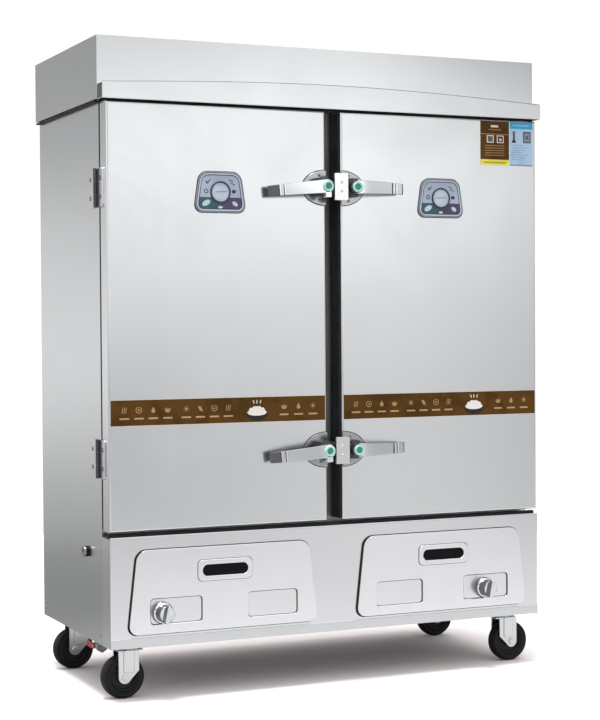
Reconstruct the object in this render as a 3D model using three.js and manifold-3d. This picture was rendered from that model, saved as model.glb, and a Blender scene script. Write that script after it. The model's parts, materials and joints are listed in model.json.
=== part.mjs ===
// Rice steaming cart: a gas-heated cabinet with two steaming chambers, two doors and four casters.
// Millimetres, +Z up. X runs to the right seen from the front and Y runs towards the back.
// The origin is on the floor, under the middle of the whole object.

import * as THREE from 'three';
import { mergeGeometries, mergeVertices } from 'three/addons/utils/BufferGeometryUtils.js';
import Module from 'manifold-3d';

const wasm = await Module();
wasm.setup();

// Overall sizes
const overallHeight = 1500;
const bodyWidth = 1116;
const bodyDepth = 480;
const casterHeight = 124;
const baseHeight = 247;
const crownHeight = 143;

// How far each front piece stands ahead of the carcass face
const baseReach = 58;
const doorReach = 54;
const crownReach = 24;
const visorReach = 60;
const latchReach = 58;
const crownOverhang = 11;

// Sheet, clearances and facets
const sheet = 1.2;
const linerSheet = 1;
const gap = 0.3;
const overrun = 5;
const foldRadius = 4;
const cornerSteps = 3;
const roundSides = 20;
const smallSides = 10;
const hexSides = 6;
const bendSteps = 3;

// Insulated walls and the two chambers
const wallDepth = 38;
const ceilingDepth = 45;
const backDepth = 40;
const floorDepth = 39;
const faceReturn = 12;

// Doors
const doorGap = 33;
const doorBottomGap = 15;
const doorTopGap = 7;
const doorEdgeRadius = 8;
const doorCornerRadius = 3;
const gasketDepth = 10;
const gasketWidth = 14;
const gasketInset = 4;
const edgeStripDepth = 3;
const pressedDepth = 6;
const pressedInset = 60;
const pressedRadius = 20;
const bandHeight = 60;
const bandRise = 267;
const bandThickness = 0.5;

// Gauge badge on each door
const gaugeDrop = 197;
const gaugeHeight = 88;
const gaugeTopWidth = 101;
const gaugeBottomWidth = 128;
const gaugeCornerRadius = 22;
const gaugeThickness = 4;
const gaugeRim = 5;
const gaugeFaceDepth = 1.5;
const dialRadius = 23;
const dialThickness = 3;

// Latches: two sets, each with a lever on either door and a keeper between them
const latchDrop = 180;
const latchRise = 168;
const latchPlateWidth = 60;
const latchPlateHeight = 82;
const latchPlateThickness = 3;
const latchPlateInset = 3.5;
const latchScrewShares = [[0.3, 0.36], [0.3, -0.36], [0.8, 0]];
const latchPivotX = 38;
const latchBlockWidth = 26;
const latchBlockHeight = 44;
const leverPinRadius = 4;
const leverPinLength = 9;
const leverHubRadius = 16;
const leverHubDepth = 13;
const leverLength = 136;
const leverThickness = 5;
const leverHubHeight = 32;
const leverTipHeight = 25;
const leverTipStandoff = 15;
const leverDroop = THREE.MathUtils.degToRad(7);
const leverRidgeWidth = 5;
const leverRidgeHeight = 3;
const leverRidgeX = [103, 113];
const leverBowShare = 0.45;
const camRadius = 19.5;
const camDepth = 8;
const capRadius = 12.5;
const capDepth = 5;
const keeperWidth = 34;
const keeperHeight = 63;
const keeperThickness = 3;
const keeperReach = 44;
const keeperStemWidth = 22;
const keeperStemHeight = 30;
const rivetRadius = 3.5;
const rivetHeight = 1.6;
const rivetSpacing = 21;

// Hinges on the cabinet's sides
const hingeDrop = 190;
const hingeRise = 162;
const hingeLength = 89;
const hingeLeaf = 2.5;
const hingeBarrelRadius = 5.5;
const hingeAxisOut = 6.5;
const hingeAxisBack = 10;
const hingePinRadius = 3;
const hingeRunning = 0.15;
const hingeBodyLeaf = 61;
const hingeDoorLeaf = 42;
const hingeCorner = 12;
const hingeScrewSpacing = 42;
const hingeScrewRadius = 4.2;
const hingeScrewInset = 15;
const hingeScrewPit = 1.2;
const hingePinCap = 2;

// Crown, visor and roof
const crownReturn = 18;
const crownLedge = 14;
const roofDrop = 45;
const roofRim = 10;
const visorEndHeight = 36;
const visorRise = 19;
const visorCorner = 12;
const visorDrop = 2;
const visorSteps = 12;
const ventRadius = 19;
const ventWall = 2;
const ventCapRadius = 34;
const ventCapDepth = 3;
const ventStand = 30;
const ventPostRadius = 2.5;
const ventBackset = 80;

// Tray rails
const railLevels = 12;
const railFirst = 62;
const railTopRoom = 92;
const uprightTopGap = 24;
const railLeg = 18;
const railThickness = 2;
const railFrontInset = 14;
const railBackInset = 26;
const uprightWidth = 16;
const uprightInset = 20;

// Water tanks under the chambers
const tankSideInset = 31;
const tankDepth = 105;
const tankRim = 12;
const tankFrontInset = 35;
const tankBackInset = 35;

// Water inlet, float valve and pipes
const inletBack = 110;
const inletRise = 19.5;
const pipeRadius = 8;
const pipeMouth = 5.5;
const mouthDepth = 3.5;
const pipeBend = 18;
const fittingRadius = 11;
const fittingReach = 11;
const fittingFlange = 3;
const riserHeight = 50;
const floatArmLength = 95;
const floatArmRadius = 2.5;
const floatRadius = 22;
const floatBodyRadius = 11;
const floatBodyHeight = 24;
const floatArmDrop = THREE.MathUtils.degToRad(8);
const floatPivotGap = 0.4;
const drainBack = 118;
const drainSideInset = 28;
const drainTankInset = 19;
const drainDrop = 20;
const drainLegDrop = 45.5;
const drainValveRadius = 11;
const drainValveFront = 94;
const drainValveBack = 132;
const drainNutRadius = 14;
const drainNutDepth = 10;
const drainLeverLength = 46;
const drainLeverWidth = 14;
const drainLeverThickness = 3;
const drainStemRadius = 4;
const drainStemReach = 5;
const balanceRise = 32.5;

// Burners and gas pipes
const burnerRadius = 78;
const burnerDepth = 22;
const burnerRise = 76;
const burnerBack = 215;
const burnerRings = [46];
const burnerGroove = 5;
const burnerLegRadius = 7;
const burnerLegInset = 18;
const venturiRadius = 14;
const venturiBend = 60;
const venturiFront = 16;
const valveRadius = 13;
const valveFront = -38;
const valveLength = 46;
const manifoldRadius = 9;
const manifoldDrop = 34;
const manifoldBack = -14;
const manifoldEnd = 24;
const gasInletX = 300;
const gasInletRise = 56;
const gasNutRadius = 15;
const gasNutDepth = 16;

// Base front, burner panels, knobs
const panelCentreInset = 51;
const panelSideInset = 39;
const panelTaper = 22;
const panelRise = 29;
const panelTopInset = 27;
const panelCorner = 24;
const panelDepth = 7;
const panelEdge = 3;
const panelWall = 2;
const slotDrop = 54;
const slotBezelWidth = 134;
const slotBezelHeight = 48;
const slotBezelRadius = 12;
const slotBezelRise = 3;
const slotWidth = 112;
const slotHeight = 26;
const slotDepth = 3.8;
const pocketWidth = 124;
const pocketHeight = 58;
const pocketRise = 51;
const pocketRadius = 8;
const pocketDepth = 4;
const pocketShift = 2;
const knobShift = { left: 33, right: -3 };
const knobDrop = 4;
const knobSkirtRadius = 25;
const knobSkirtDepth = 9;
const knobBodyRadius = 20;
const knobReach = 38;
const knobGripWidth = 11;
const knobSpindleRadius = 4;
const knobSpindleHole = 7;
const knobTurn = THREE.MathUtils.degToRad(12);

// Chassis and back
const chassisFlange = 25;
const chassisSheet = 2;
const airSlotWidth = 10;
const airSlotLength = 170;
const airSlotPitch = 26;
const airSlots = 5;
const airSlotMiddleShare = 0.358;
const backSlotRise = 66;

// Casters
const wheelRadius = 50;
const wheelWidth = 32;
const wheelSides = 24;
const hubRadius = 31;
const hubWidth = 26;
const axleRadius = 4;
const axleHeadRadius = 8;
const axleHeadDepth = 4.5;
const axleRunning = 0.3;
const casterInset = 66;
const casterTrail = 18;
const casterFrontBack = 10;
const casterRearInset = 87;
const casterPlateWidth = 88;
const casterPlateDepth = 70;
const casterPlateThickness = 3;
const raceRadius = 27;
const raceDepth = 9;
const kingpinRadius = 5;
const kingpinNutRadius = 8;
const kingpinNutDepth = 3;
const forkThickness = 3;
const forkTopHalf = 28;
const forkTipRadius = 13;
const forkSideGap = 2;
const forkRibWidth = 14;
const forkRibDepth = 2;
const hingeSides = 12;

// Places worked out from the sizes above
const sideX = bodyWidth / 2;
const backY = (bodyDepth + doorReach + latchReach) / 2;
const faceY = backY - bodyDepth;
const doorFrontY = faceY - doorReach;
const doorBackY = faceY - gasketDepth;
const baseFrontY = faceY - baseReach;
const crownFrontY = faceY - crownReach;
const bodyBottom = casterHeight;
const baseTop = bodyBottom + baseHeight;
const crownBottom = overallHeight - crownHeight;
const crownX = sideX + crownOverhang;
const doorInnerX = doorGap / 2;
const doorSkinX = doorInnerX + edgeStripDepth + gap;
const doorBottom = baseTop + doorBottomGap;
const doorTop = crownBottom - doorTopGap;
const insideX = sideX - sheet - gap;
const insideBackY = backY - sheet - gap;
const chamberX = [wallDepth, sideX - wallDepth];
const chamberZ = [baseTop + floorDepth, crownBottom - ceilingDepth];
const chamberBackY = backY - backDepth;
const chamberMiddleX = (chamberX[0] + chamberX[1]) / 2;
const chamberMiddleY = (faceY + chamberBackY) / 2;
const hingeX = sideX + hingeAxisOut;
const hingeY = faceY + hingeAxisBack;
const chassisTop = bodyBottom + chassisSheet;
const roofZ = overallHeight - roofDrop;
const ventY = chamberBackY - ventBackset;
const tankX = [chamberX[0] + tankSideInset, chamberX[1] - tankSideInset];
const tankY = [faceY + tankFrontInset, chamberBackY - tankBackInset];
const tankTop = chamberZ[0] + linerSheet + gap + sheet;
const tankBottom = tankTop - tankDepth;
const inletY = faceY + inletBack;
const inletZ = tankBottom + inletRise;
const balanceZ = tankBottom + balanceRise;
const drainLegZ = tankBottom - drainLegDrop;
const drainZ = bodyBottom - drainDrop;
const burnerZ = bodyBottom + burnerRise;
const gasInletZ = bodyBottom + gasInletRise;
const backSlotZ = bodyBottom + backSlotRise;
const drainY = faceY + drainBack;
const drainX = sideX - drainSideInset;
const drainTankX = tankX[1] - drainTankInset;
const panelFrontY = baseFrontY - gap - panelDepth;
const panelX = (sideX - panelSideInset + panelCentreInset) / 2;
const panelBottomHalf = (sideX - panelSideInset - panelCentreInset) / 2;
const panelTopHalf = panelBottomHalf - panelTaper;
const panelBottomZ = bodyBottom + panelRise;
const panelHeight = baseTop - panelTopInset - panelBottomZ;
const slotZ = panelBottomZ + panelHeight - slotDrop;
const pocketZ = panelBottomZ + pocketRise;
const pocketOffset = panelBottomHalf / 2 + pocketShift;
const knobZ = pocketZ - knobDrop;
const knobX = {
  left: -(panelX + pocketOffset + knobShift.left),
  right: panelX + pocketOffset + knobShift.right,
};
const gaugeX = (doorInnerX + sideX) / 2;
const gaugeZ = doorTop - gaugeDrop;
const bandCentre = doorBottom + bandRise;
const latchHeights = [doorTop - latchDrop, doorBottom + latchRise];
const hingeHeights = [doorTop - hingeDrop, doorBottom + hingeRise];
const railPitch = (chamberZ[1] - chamberZ[0] - railFirst - railTopRoom) / (railLevels - 1);
const casterX = sideX - casterInset;
const airSlotX = sideX * airSlotMiddleShare;

// Finishes of the materials
const finishes = {
  brushed: { color: 0xc9cbce, roughness: 0.35, metalness: 0.9 },
  polished: { color: 0xd8dadc, roughness: 0.15, metalness: 1 },
  liner: { color: 0xbfc2c6, roughness: 0.3, metalness: 0.9 },
  foam: { color: 0xe3d9a8, roughness: 0.95, metalness: 0 },
  rubber: { color: 0x2c2d30, roughness: 0.8, metalness: 0 },
  brown: { color: 0x4a2b12, roughness: 0.35, metalness: 0 },
  badge: { color: 0x7d8fae, roughness: 0.35, metalness: 0.2 },
  brass: { color: 0xb28f4a, roughness: 0.35, metalness: 0.9 },
  iron: { color: 0x3c3b3a, roughness: 0.7, metalness: 0.5 },
  pressed: { color: 0xd2d3d6, roughness: 0.45, metalness: 0.5 },
  red: { color: 0xa4142a, roughness: 0.4, metalness: 0 },
  tyre: { color: 0x161719, roughness: 0.6, metalness: 0 },
};

const cart = new THREE.Group();

function piece(name, finish, ...solids) {
  const geometry = mergeGeometries(solids.map(bare));
  geometry.computeVertexNormals();
  const mesh = new THREE.Mesh(geometry, new THREE.MeshStandardMaterial(finishes[finish]));
  mesh.name = name;
  cart.add(mesh);
  return mesh;
}

// Loose triangles that hold nothing but their corners
function bare(geometry) {
  const loose = geometry.index ? geometry.toNonIndexed() : geometry.clone();
  for (const name of Object.keys(loose.attributes)) {
    if (name !== 'position') {
      loose.deleteAttribute(name);
    }
  }
  return loose;
}

function toSolid(geometry) {
  const merged = mergeVertices(bare(geometry));
  const corners = Array.from(merged.index.array);
  const faces = [];
  for (let i = 0; i < corners.length; i += 3) {
    const [a, b, c] = corners.slice(i, i + 3);
    if (a !== b && b !== c && c !== a) {
      faces.push(a, b, c);
    }
  }
  const vertProperties = merged.attributes.position.array;
  return new wasm.Manifold(new wasm.Mesh({ numProp: 3, vertProperties, triVerts: new Uint32Array(faces) }));
}

function fromSolid(solid) {
  const { vertProperties, triVerts } = solid.getMesh();
  const geometry = new THREE.BufferGeometry();
  geometry.setAttribute('position', new THREE.BufferAttribute(vertProperties, 3));
  geometry.setIndex(new THREE.BufferAttribute(triVerts, 1));
  return geometry;
}

const cut = (first, ...tools) => fromSolid(tools.reduce((s, t) => s.subtract(toSolid(t)), toSolid(first)));
const join = (first, ...others) => fromSolid(others.reduce((s, t) => s.add(toSolid(t)), toSolid(first)));
const common = (first, second) => fromSolid(toSolid(first).intersect(toSolid(second)));

// The same piece on the other side of the cart
function mirrored(geometry) {
  const copy = bare(geometry).scale(-1, 1, 1);
  const corners = copy.attributes.position;
  for (let i = 0; i < corners.count; i += 3) {
    const second = new THREE.Vector3().fromBufferAttribute(corners, i + 1);
    const third = new THREE.Vector3().fromBufferAttribute(corners, i + 2);
    corners.setXYZ(i + 1, third.x, third.y, third.z);
    corners.setXYZ(i + 2, second.x, second.y, second.z);
  }
  return copy;
}

const sides = { left: -1, right: 1 };
const levels = ['upper', 'lower'];
const onSide = (side, geometry) => (sides[side] < 0 ? mirrored(geometry) : geometry);

function block(xs, ys, zs) {
  const size = [xs, ys, zs].map(([a, b]) => Math.abs(b - a));
  const middle = [xs, ys, zs].map(([a, b]) => (a + b) / 2);
  return new THREE.BoxGeometry(...size).translate(...middle);
}

// Outlines are drawn in two directions and given their thickness along the third
const facing = {
  top: new THREE.Matrix4(),
  front: new THREE.Matrix4().makeBasis(
    new THREE.Vector3(1, 0, 0), new THREE.Vector3(0, 0, 1), new THREE.Vector3(0, -1, 0)),
  side: new THREE.Matrix4().makeBasis(
    new THREE.Vector3(0, 1, 0), new THREE.Vector3(0, 0, 1), new THREE.Vector3(1, 0, 0)),
};

function slab(outline, thickness, direction, start) {
  const options = { depth: thickness, bevelEnabled: false, curveSegments: cornerSteps };
  const geometry = new THREE.ExtrudeGeometry(outline, options).applyMatrix4(facing[direction]);
  const along = { top: [0, 0, start], front: [0, start, 0], side: [start, 0, 0] };
  return geometry.translate(...along[direction]);
}

// A slab whose front edge is rounded; its back edge is trimmed flat
function pillow(outline, thickness, edge, frontY) {
  const options = {
    depth: thickness,
    bevelThickness: edge,
    bevelSize: edge,
    bevelOffset: -edge,
    bevelSegments: cornerSteps,
    curveSegments: cornerSteps,
  };
  const geometry = new THREE.ExtrudeGeometry(outline, options).applyMatrix4(facing.front);
  geometry.translate(0, frontY + edge + thickness, 0);
  const end = frontY + thickness;
  const behind = block([-bodyWidth, bodyWidth], [end, end + edge * 2 + overrun], [-overrun, overallHeight]);
  return cut(geometry, behind);
}

// A closed outline with rounded corners: one radius for all, or one for each
function rounded(points, radii) {
  const shape = new THREE.Shape();
  points.forEach(([x, y], i) => {
    const radius = Array.isArray(radii) ? radii[i] : radii;
    const corner = new THREE.Vector2(x, y);
    const before = new THREE.Vector2(...points[(i + points.length - 1) % points.length]);
    const after = new THREE.Vector2(...points[(i + 1) % points.length]);
    const inward = before.sub(corner).setLength(radius).add(corner);
    const outward = after.sub(corner).setLength(radius).add(corner);
    if (i === 0) {
      shape.moveTo(inward.x, inward.y);
    } else {
      shape.lineTo(inward.x, inward.y);
    }
    if (radius > 0) {
      shape.quadraticCurveTo(corner.x, corner.y, outward.x, outward.y);
    }
  });
  shape.closePath();
  return shape;
}

const corners = ([x0, x1], [y0, y1]) => [[x0, y0], [x1, y0], [x1, y1], [x0, y1]];
const boxCorners = (x, halfWidth, y, halfHeight) =>
  corners([x - halfWidth, x + halfWidth], [y - halfHeight, y + halfHeight]);

const turns = {
  x: (geometry) => geometry.rotateZ(-Math.PI / 2),
  y: (geometry) => geometry,
  z: (geometry) => geometry.rotateX(Math.PI / 2),
};

// A rod from a point along one direction
function rod(radius, length, axis, from, rodSides = smallSides) {
  const geometry = new THREE.CylinderGeometry(radius, radius, length, rodSides).translate(0, length / 2, 0);
  return turns[axis](geometry).translate(...from);
}

// A turned piece: [radius, height] pairs along an axis
function turned(profile, axis, from, turnSides = roundSides) {
  const points = profile.map(([r, h]) => new THREE.Vector2(r, h));
  return turns[axis](new THREE.LatheGeometry(points, turnSides)).translate(...from);
}

// A low round head that faces the front
function dome(frontY, x, z) {
  return turned([[0, -rivetHeight], [rivetRadius, 0], [rivetRadius, rivetHeight], [0, rivetHeight]],
    'y', [x, frontY, z], smallSides);
}

// A route that turns only at its own points, so straight runs need no extra rings
class Route extends THREE.Curve {
  constructor(stops) {
    super();
    this.stops = stops;
  }

  getSpacedPoints() {
    return this.stops;
  }

  getTangentAt(share) {
    const i = Math.round(share * (this.stops.length - 1));
    const run = (a, b) => this.stops[b].clone().sub(this.stops[a]).normalize();
    const before = run(Math.max(i - 1, 0), Math.max(i, 1));
    const after = run(Math.min(i, this.stops.length - 2), Math.min(i + 1, this.stops.length - 1));
    return before.add(after).normalize();
  }
}

function pipe(points, radius, bend) {
  const stops = [points[0]];
  for (let i = 1; i < points.length - 1; i += 1) {
    const inward = points[i - 1].clone().sub(points[i]).setLength(bend).add(points[i]);
    const outward = points[i + 1].clone().sub(points[i]).setLength(bend).add(points[i]);
    stops.push(...new THREE.QuadraticBezierCurve3(inward, points[i], outward).getPoints(bendSteps));
  }
  stops.push(points[points.length - 1]);
  const ring = new THREE.Shape().absarc(0, 0, radius, 0, Math.PI * 2);
  const options = { extrudePath: new Route(stops), steps: stops.length - 1, curveSegments: smallSides / 2 };
  return new THREE.ExtrudeGeometry(ring, options);
}

const at = (x, y, z) => new THREE.Vector3(x, y, z);

// Outer cabinet panels
function sidePanel() {
  const plan = new THREE.Shape([
    [sideX, faceY],
    [sideX, backY],
    [sideX - sheet, backY],
    [sideX - sheet, faceY + sheet],
    [sideX - faceReturn, faceY + sheet],
    [sideX - faceReturn, faceY],
  ].map(([x, y]) => new THREE.Vector2(x, y)));
  const lowReturn = block([0, sideX - sheet], [faceY - overrun, faceY + sheet + overrun],
    [bodyBottom - overrun, baseTop]);
  return cut(slab(plan, crownBottom - bodyBottom, 'top', bodyBottom), lowReturn);
}

const inletHole = rod(pipeRadius + gap, sheet + overrun * 2, 'x', [-sideX - overrun, inletY, inletZ]);
piece('left_side_panel', 'brushed', cut(mirrored(sidePanel()), inletHole));
piece('right_side_panel', 'brushed', sidePanel());

function airSlotCutters(x, middle, place) {
  return Array.from({ length: airSlots }, (_, i) => {
    const start = middle + (i - (airSlots - 1) / 2) * airSlotPitch - airSlotWidth / 2;
    return place([x - airSlotLength / 2, x + airSlotLength / 2], [start, start + airSlotWidth]);
  });
}

function backPanel() {
  const plate = block([-insideX, insideX], [backY - sheet, backY], [bodyBottom, crownBottom]);
  const hole = rod(gasNutRadius + gap, sheet + overrun * 2, 'y',
    [gasInletX, backY - sheet - overrun, gasInletZ], roundSides);
  const slots = [-airSlotX, 0].flatMap((x) => airSlotCutters(x, backSlotZ, (xs, zs) =>
    block(xs, [backY - sheet - overrun, backY + overrun], zs)));
  return cut(plate, hole, ...slots);
}
piece('back_panel', 'brushed', backPanel());

// Crown: a hood around the top, open at the bottom and folded in at its top edge
function crown() {
  const ys = [crownFrontY, backY];
  const plan = (inset, radius) =>
    rounded(corners([-crownX + inset, crownX - inset], [ys[0] + inset, ys[1] - inset]), radius);
  const bottom = crownBottom + gap;
  const outer = slab(plan(0, foldRadius), overallHeight - bottom, 'top', bottom);
  const inner = plan(sheet, foldRadius - sheet);
  const room = slab(inner, overallHeight - bottom - sheet * 2, 'top', bottom + sheet);
  const opening = plan(crownReturn, foldRadius);
  const mouth = slab(opening, sheet + overrun * 2, 'top', overallHeight - sheet - overrun);
  const ledge = block(
    [-crownX + crownLedge, crownX - crownLedge],
    [faceY + foldRadius, backY - crownLedge],
    [bottom - overrun, bottom + sheet + overrun]);
  return cut(outer, room, mouth, ledge);
}

// Visor: a folded brow welded along the crown's front, with an arched top edge
function browOutline(inset) {
  const bottom = crownBottom - visorDrop;
  const endX = crownX - gap - inset;
  const shape = new THREE.Shape();
  shape.moveTo(-endX, bottom);
  shape.lineTo(endX, bottom);
  const endZ = crownBottom + visorEndHeight - inset;
  shape.lineTo(endX, endZ - visorCorner);
  shape.quadraticCurveTo(endX, endZ, endX - visorCorner, endZ);
  for (let i = 1; i < visorSteps; i += 1) {
    const share = i / visorSteps;
    const x = (endX - visorCorner) * (1 - share * 2);
    shape.lineTo(x, endZ + visorRise * Math.sin(Math.PI * share));
  }
  shape.lineTo(-endX + visorCorner, endZ);
  shape.quadraticCurveTo(-endX, endZ, -endX, endZ - visorCorner);
  shape.closePath();
  return shape;
}

function visor() {
  const depth = visorReach - crownReach;
  const lap = sheet / 2;
  const outer = slab(browOutline(0), depth + lap, 'front', crownFrontY + lap);
  const hollow = slab(browOutline(sheet), depth - sheet + overrun, 'front', crownFrontY + overrun);
  const mouth = block(
    [-crownX + sheet, crownX - sheet],
    [faceY - visorReach + sheet, crownFrontY + overrun],
    [crownBottom - visorDrop - overrun, crownBottom]);
  return cut(outer, hollow, mouth);
}
piece('crown', 'brushed', join(crown(), visor()));

// Steam vent: a pipe from a chamber's ceiling through the roof, under a rain cap on three posts
const ventHole = (radius, zs) => rod(radius, zs[1] - zs[0], 'z', [chamberMiddleX, ventY, zs[0]], roundSides);

function steamVent() {
  const bottom = chamberZ[1] - linerSheet;
  const top = roofZ + ventStand / 2;
  const capBottom = roofZ + ventStand;
  const bore = ventRadius - ventWall;
  const collar = ventRadius + ventWall * 2;
  const neck = turned([
    [bore, bottom], [ventRadius, bottom], [ventRadius, roofZ - gap], [collar, roofZ - gap],
    [collar, roofZ + ventWall], [ventRadius, roofZ + ventWall], [ventRadius, top], [bore, top],
    [bore, bottom],
  ], 'y', [0, 0, 0]);
  const cap = turned([
    [0, capBottom], [ventCapRadius, capBottom], [ventCapRadius, capBottom + ventCapDepth],
    [0, capBottom + ventCapDepth * 2],
  ], 'y', [0, 0, 0]);
  const posts = [0, 1, 2].map((i) => {
    const angle = (i * Math.PI * 2) / 3;
    const reach = ventRadius - ventWall / 2;
    const length = ventStand / 2 + ventCapDepth + ventWall;
    const [x, z] = [reach * Math.cos(angle), reach * Math.sin(angle)];
    return rod(ventPostRadius, length, 'y', [x, top - ventWall, z]);
  });
  return join(neck, cap, ...posts).rotateX(Math.PI / 2).translate(chamberMiddleX, ventY, 0);
}

// Roof deck: a shallow pan under the crown's top fold, with a vent welded in over each chamber
function roofDeck() {
  const rimX = crownX - crownReturn;
  const rimFront = crownFrontY + crownReturn;
  const rimBack = backY - crownReturn;
  const rimTop = overallHeight - sheet - gap;
  const flange = block(
    [-rimX - roofRim, rimX + roofRim], [rimFront - roofRim, rimBack + roofRim], [rimTop - sheet, rimTop]);
  const tub = block([-rimX, rimX], [rimFront, rimBack], [roofZ - sheet, rimTop]);
  const room = block([-rimX + sheet, rimX - sheet], [rimFront + sheet, rimBack - sheet],
    [roofZ, rimTop + overrun]);
  const hole = ventHole(ventRadius - ventWall / 2, [roofZ - sheet - overrun, roofZ + overrun]);
  return join(cut(join(flange, tub), room, hole, mirrored(hole)), steamVent(), mirrored(steamVent()));
}
piece('roof_deck', 'brushed', roofDeck());

// Insulation: one moulded block around both chambers
function insulation() {
  const zs = [baseTop + gap, crownBottom - gap];
  const bulk = block([-insideX, insideX], [faceY + sheet + gap, insideBackY], zs);
  const room = block(
    [chamberX[0] - gap, chamberX[1] + gap],
    [faceY - overrun, chamberBackY + gap],
    [chamberZ[0] - gap, chamberZ[1] + gap]);
  const well = block([tankX[0] - gap, tankX[1] + gap], [tankY[0] - gap, tankY[1] + gap],
    [zs[0] - overrun, chamberZ[0] + overrun]);
  const flue = ventHole(ventRadius + gap, [chamberZ[1] - overrun, zs[1] + overrun]);
  const tools = [room, well, flue];
  return cut(bulk, ...tools, ...tools.map(mirrored));
}
piece('insulation', 'foam', insulation());

// Chamber liner: two boxes open at the front, a face that the door seals meet, and the latch keepers
function chamber() {
  const shell = block(chamberX, [faceY, chamberBackY], chamberZ);
  const room = block(
    [chamberX[0] + linerSheet, chamberX[1] - linerSheet],
    [faceY - overrun, chamberBackY - linerSheet],
    [chamberZ[0] + linerSheet, chamberZ[1] - linerSheet]);
  const well = block([tankX[0] - gap, tankX[1] + gap], [tankY[0] - gap, tankY[1] + gap],
    [chamberZ[0] - overrun, chamberZ[0] + overrun]);
  const flue = ventHole(ventRadius + gap, [chamberZ[1] - overrun, chamberZ[1] + overrun]);
  return { shell, tools: [room, well, flue] };
}

function keeper(z) {
  const front = doorFrontY - keeperReach;
  const back = front + keeperThickness;
  const plate = slab(rounded(boxCorners(0, keeperWidth / 2, z, keeperHeight / 2), keeperThickness),
    keeperThickness, 'front', back);
  const stem = block([-keeperStemWidth / 2, keeperStemWidth / 2], [back - sheet, faceY + sheet / 2],
    [z - keeperStemHeight / 2, z + keeperStemHeight / 2]);
  const rivets = [-1, 1].map((hand) => dome(front, 0, z + hand * rivetSpacing / 2));
  return join(plate, stem, ...rivets);
}

function chamberLiner() {
  const flangeX = sideX - faceReturn - gap;
  const flange = block([-flangeX, flangeX], [faceY, faceY + sheet], [baseTop + gap, crownBottom - gap]);
  const { shell, tools } = chamber();
  const boxes = cut(join(flange, shell, mirrored(shell)), ...tools, ...tools.map(mirrored));
  return join(boxes, ...latchHeights.map(keeper));
}
piece('chamber_liner', 'liner', chamberLiner());

// Tray racks: flat rails welded to the inner faces of two uprights, hung on each side of a chamber
function trayRack(wall, inward) {
  const ys = [faceY + railFrontInset, chamberBackY - railBackInset];
  const topZ = chamberZ[1] - uprightTopGap;
  const bottomZ = chamberZ[0] + linerSheet + gap;
  const lap = railThickness / 2;
  const rails = Array.from({ length: railLevels }, (_, level) => {
    const top = chamberZ[0] + railFirst + level * railPitch;
    return block([wall + inward * lap, wall + inward * railLeg], ys, [top - railThickness, top]);
  });
  const uprights = [ys[0] + uprightInset, ys[1] - uprightInset - uprightWidth].map((y) =>
    block([wall, wall + inward * railThickness], [y, y + uprightWidth], [bottomZ, topZ]));
  return join(...rails, ...uprights);
}
for (const side of Object.keys(sides)) {
  const walls = [chamberX[0] + linerSheet + gap, chamberX[1] - linerSheet - gap];
  piece(`${side}_inner_tray_rack`, 'liner', onSide(side, trayRack(walls[0], 1)));
  piece(`${side}_outer_tray_rack`, 'liner', onSide(side, trayRack(walls[1], -1)));
}

// Drain valve: a ball valve on the drain line, under the left edge, with its outlet to the front
function drainValve() {
  const ys = [faceY + drainValveFront, faceY + drainValveBack];
  const body = rod(drainValveRadius, ys[1] - ys[0], 'y', [-drainX, ys[0], drainZ], smallSides);
  const nut = rod(drainNutRadius, drainNutDepth, 'y', [-drainX, ys[0], drainZ], hexSides);
  const stemY = faceY + drainBack;
  const stem = rod(drainStemRadius, drainValveRadius + drainStemReach, 'x',
    [-drainX - drainValveRadius - drainStemReach, stemY, drainZ], smallSides);
  const mouth = rod(pipeMouth, mouthDepth + overrun, 'y', [-drainX, ys[0] - overrun, drainZ]);
  return cut(join(body, nut, stem), mouth);
}

// Water tank: a pan hung by its rim in each chamber floor, a pipe that levels them and the drain line
function waterPan() {
  const rimBottom = tankTop - sheet;
  const rim = block([tankX[0] - tankRim, tankX[1] + tankRim], [tankY[0] - tankRim, tankY[1] + tankRim],
    [rimBottom, tankTop]);
  const pan = block(tankX, tankY, [tankBottom, tankTop]);
  const room = block([tankX[0] + sheet, tankX[1] - sheet], [tankY[0] + sheet, tankY[1] - sheet],
    [tankBottom + sheet, tankTop + overrun]);
  return cut(join(rim, pan), room);
}

const balanceY = (tankY[0] + tankY[1]) / 2;

function waterTank() {
  const inletHole = rod(pipeRadius + gap, sheet + overrun * 2, 'x', [-tankX[1] - overrun, inletY, inletZ]);
  const reach = tankX[0] + sheet / 2;
  const balance = rod(pipeRadius, reach * 2, 'x', [-reach, balanceY, balanceZ]);
  const drain = pipe([
    at(-drainTankX, drainY, tankBottom + sheet / 2),
    at(-drainTankX, drainY, drainLegZ),
    at(-drainX, drainY, drainLegZ),
    at(-drainX, drainY, drainZ + drainValveRadius / 2),
  ], pipeRadius, pipeBend);
  return join(cut(mirrored(waterPan()), inletHole), waterPan(), balance, drain, drainValve());
}
piece('water_tank', 'liner', waterTank());

// Water inlet: an outside fitting, a pipe into the left tank and the float valve's body on its end
const riserX = -tankX[1] + pipeBend * 3;
const floatPivot = {
  x: riserX + floatBodyRadius + floatPivotGap + floatArmRadius * 2,
  z: inletZ + riserHeight,
};

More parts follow.
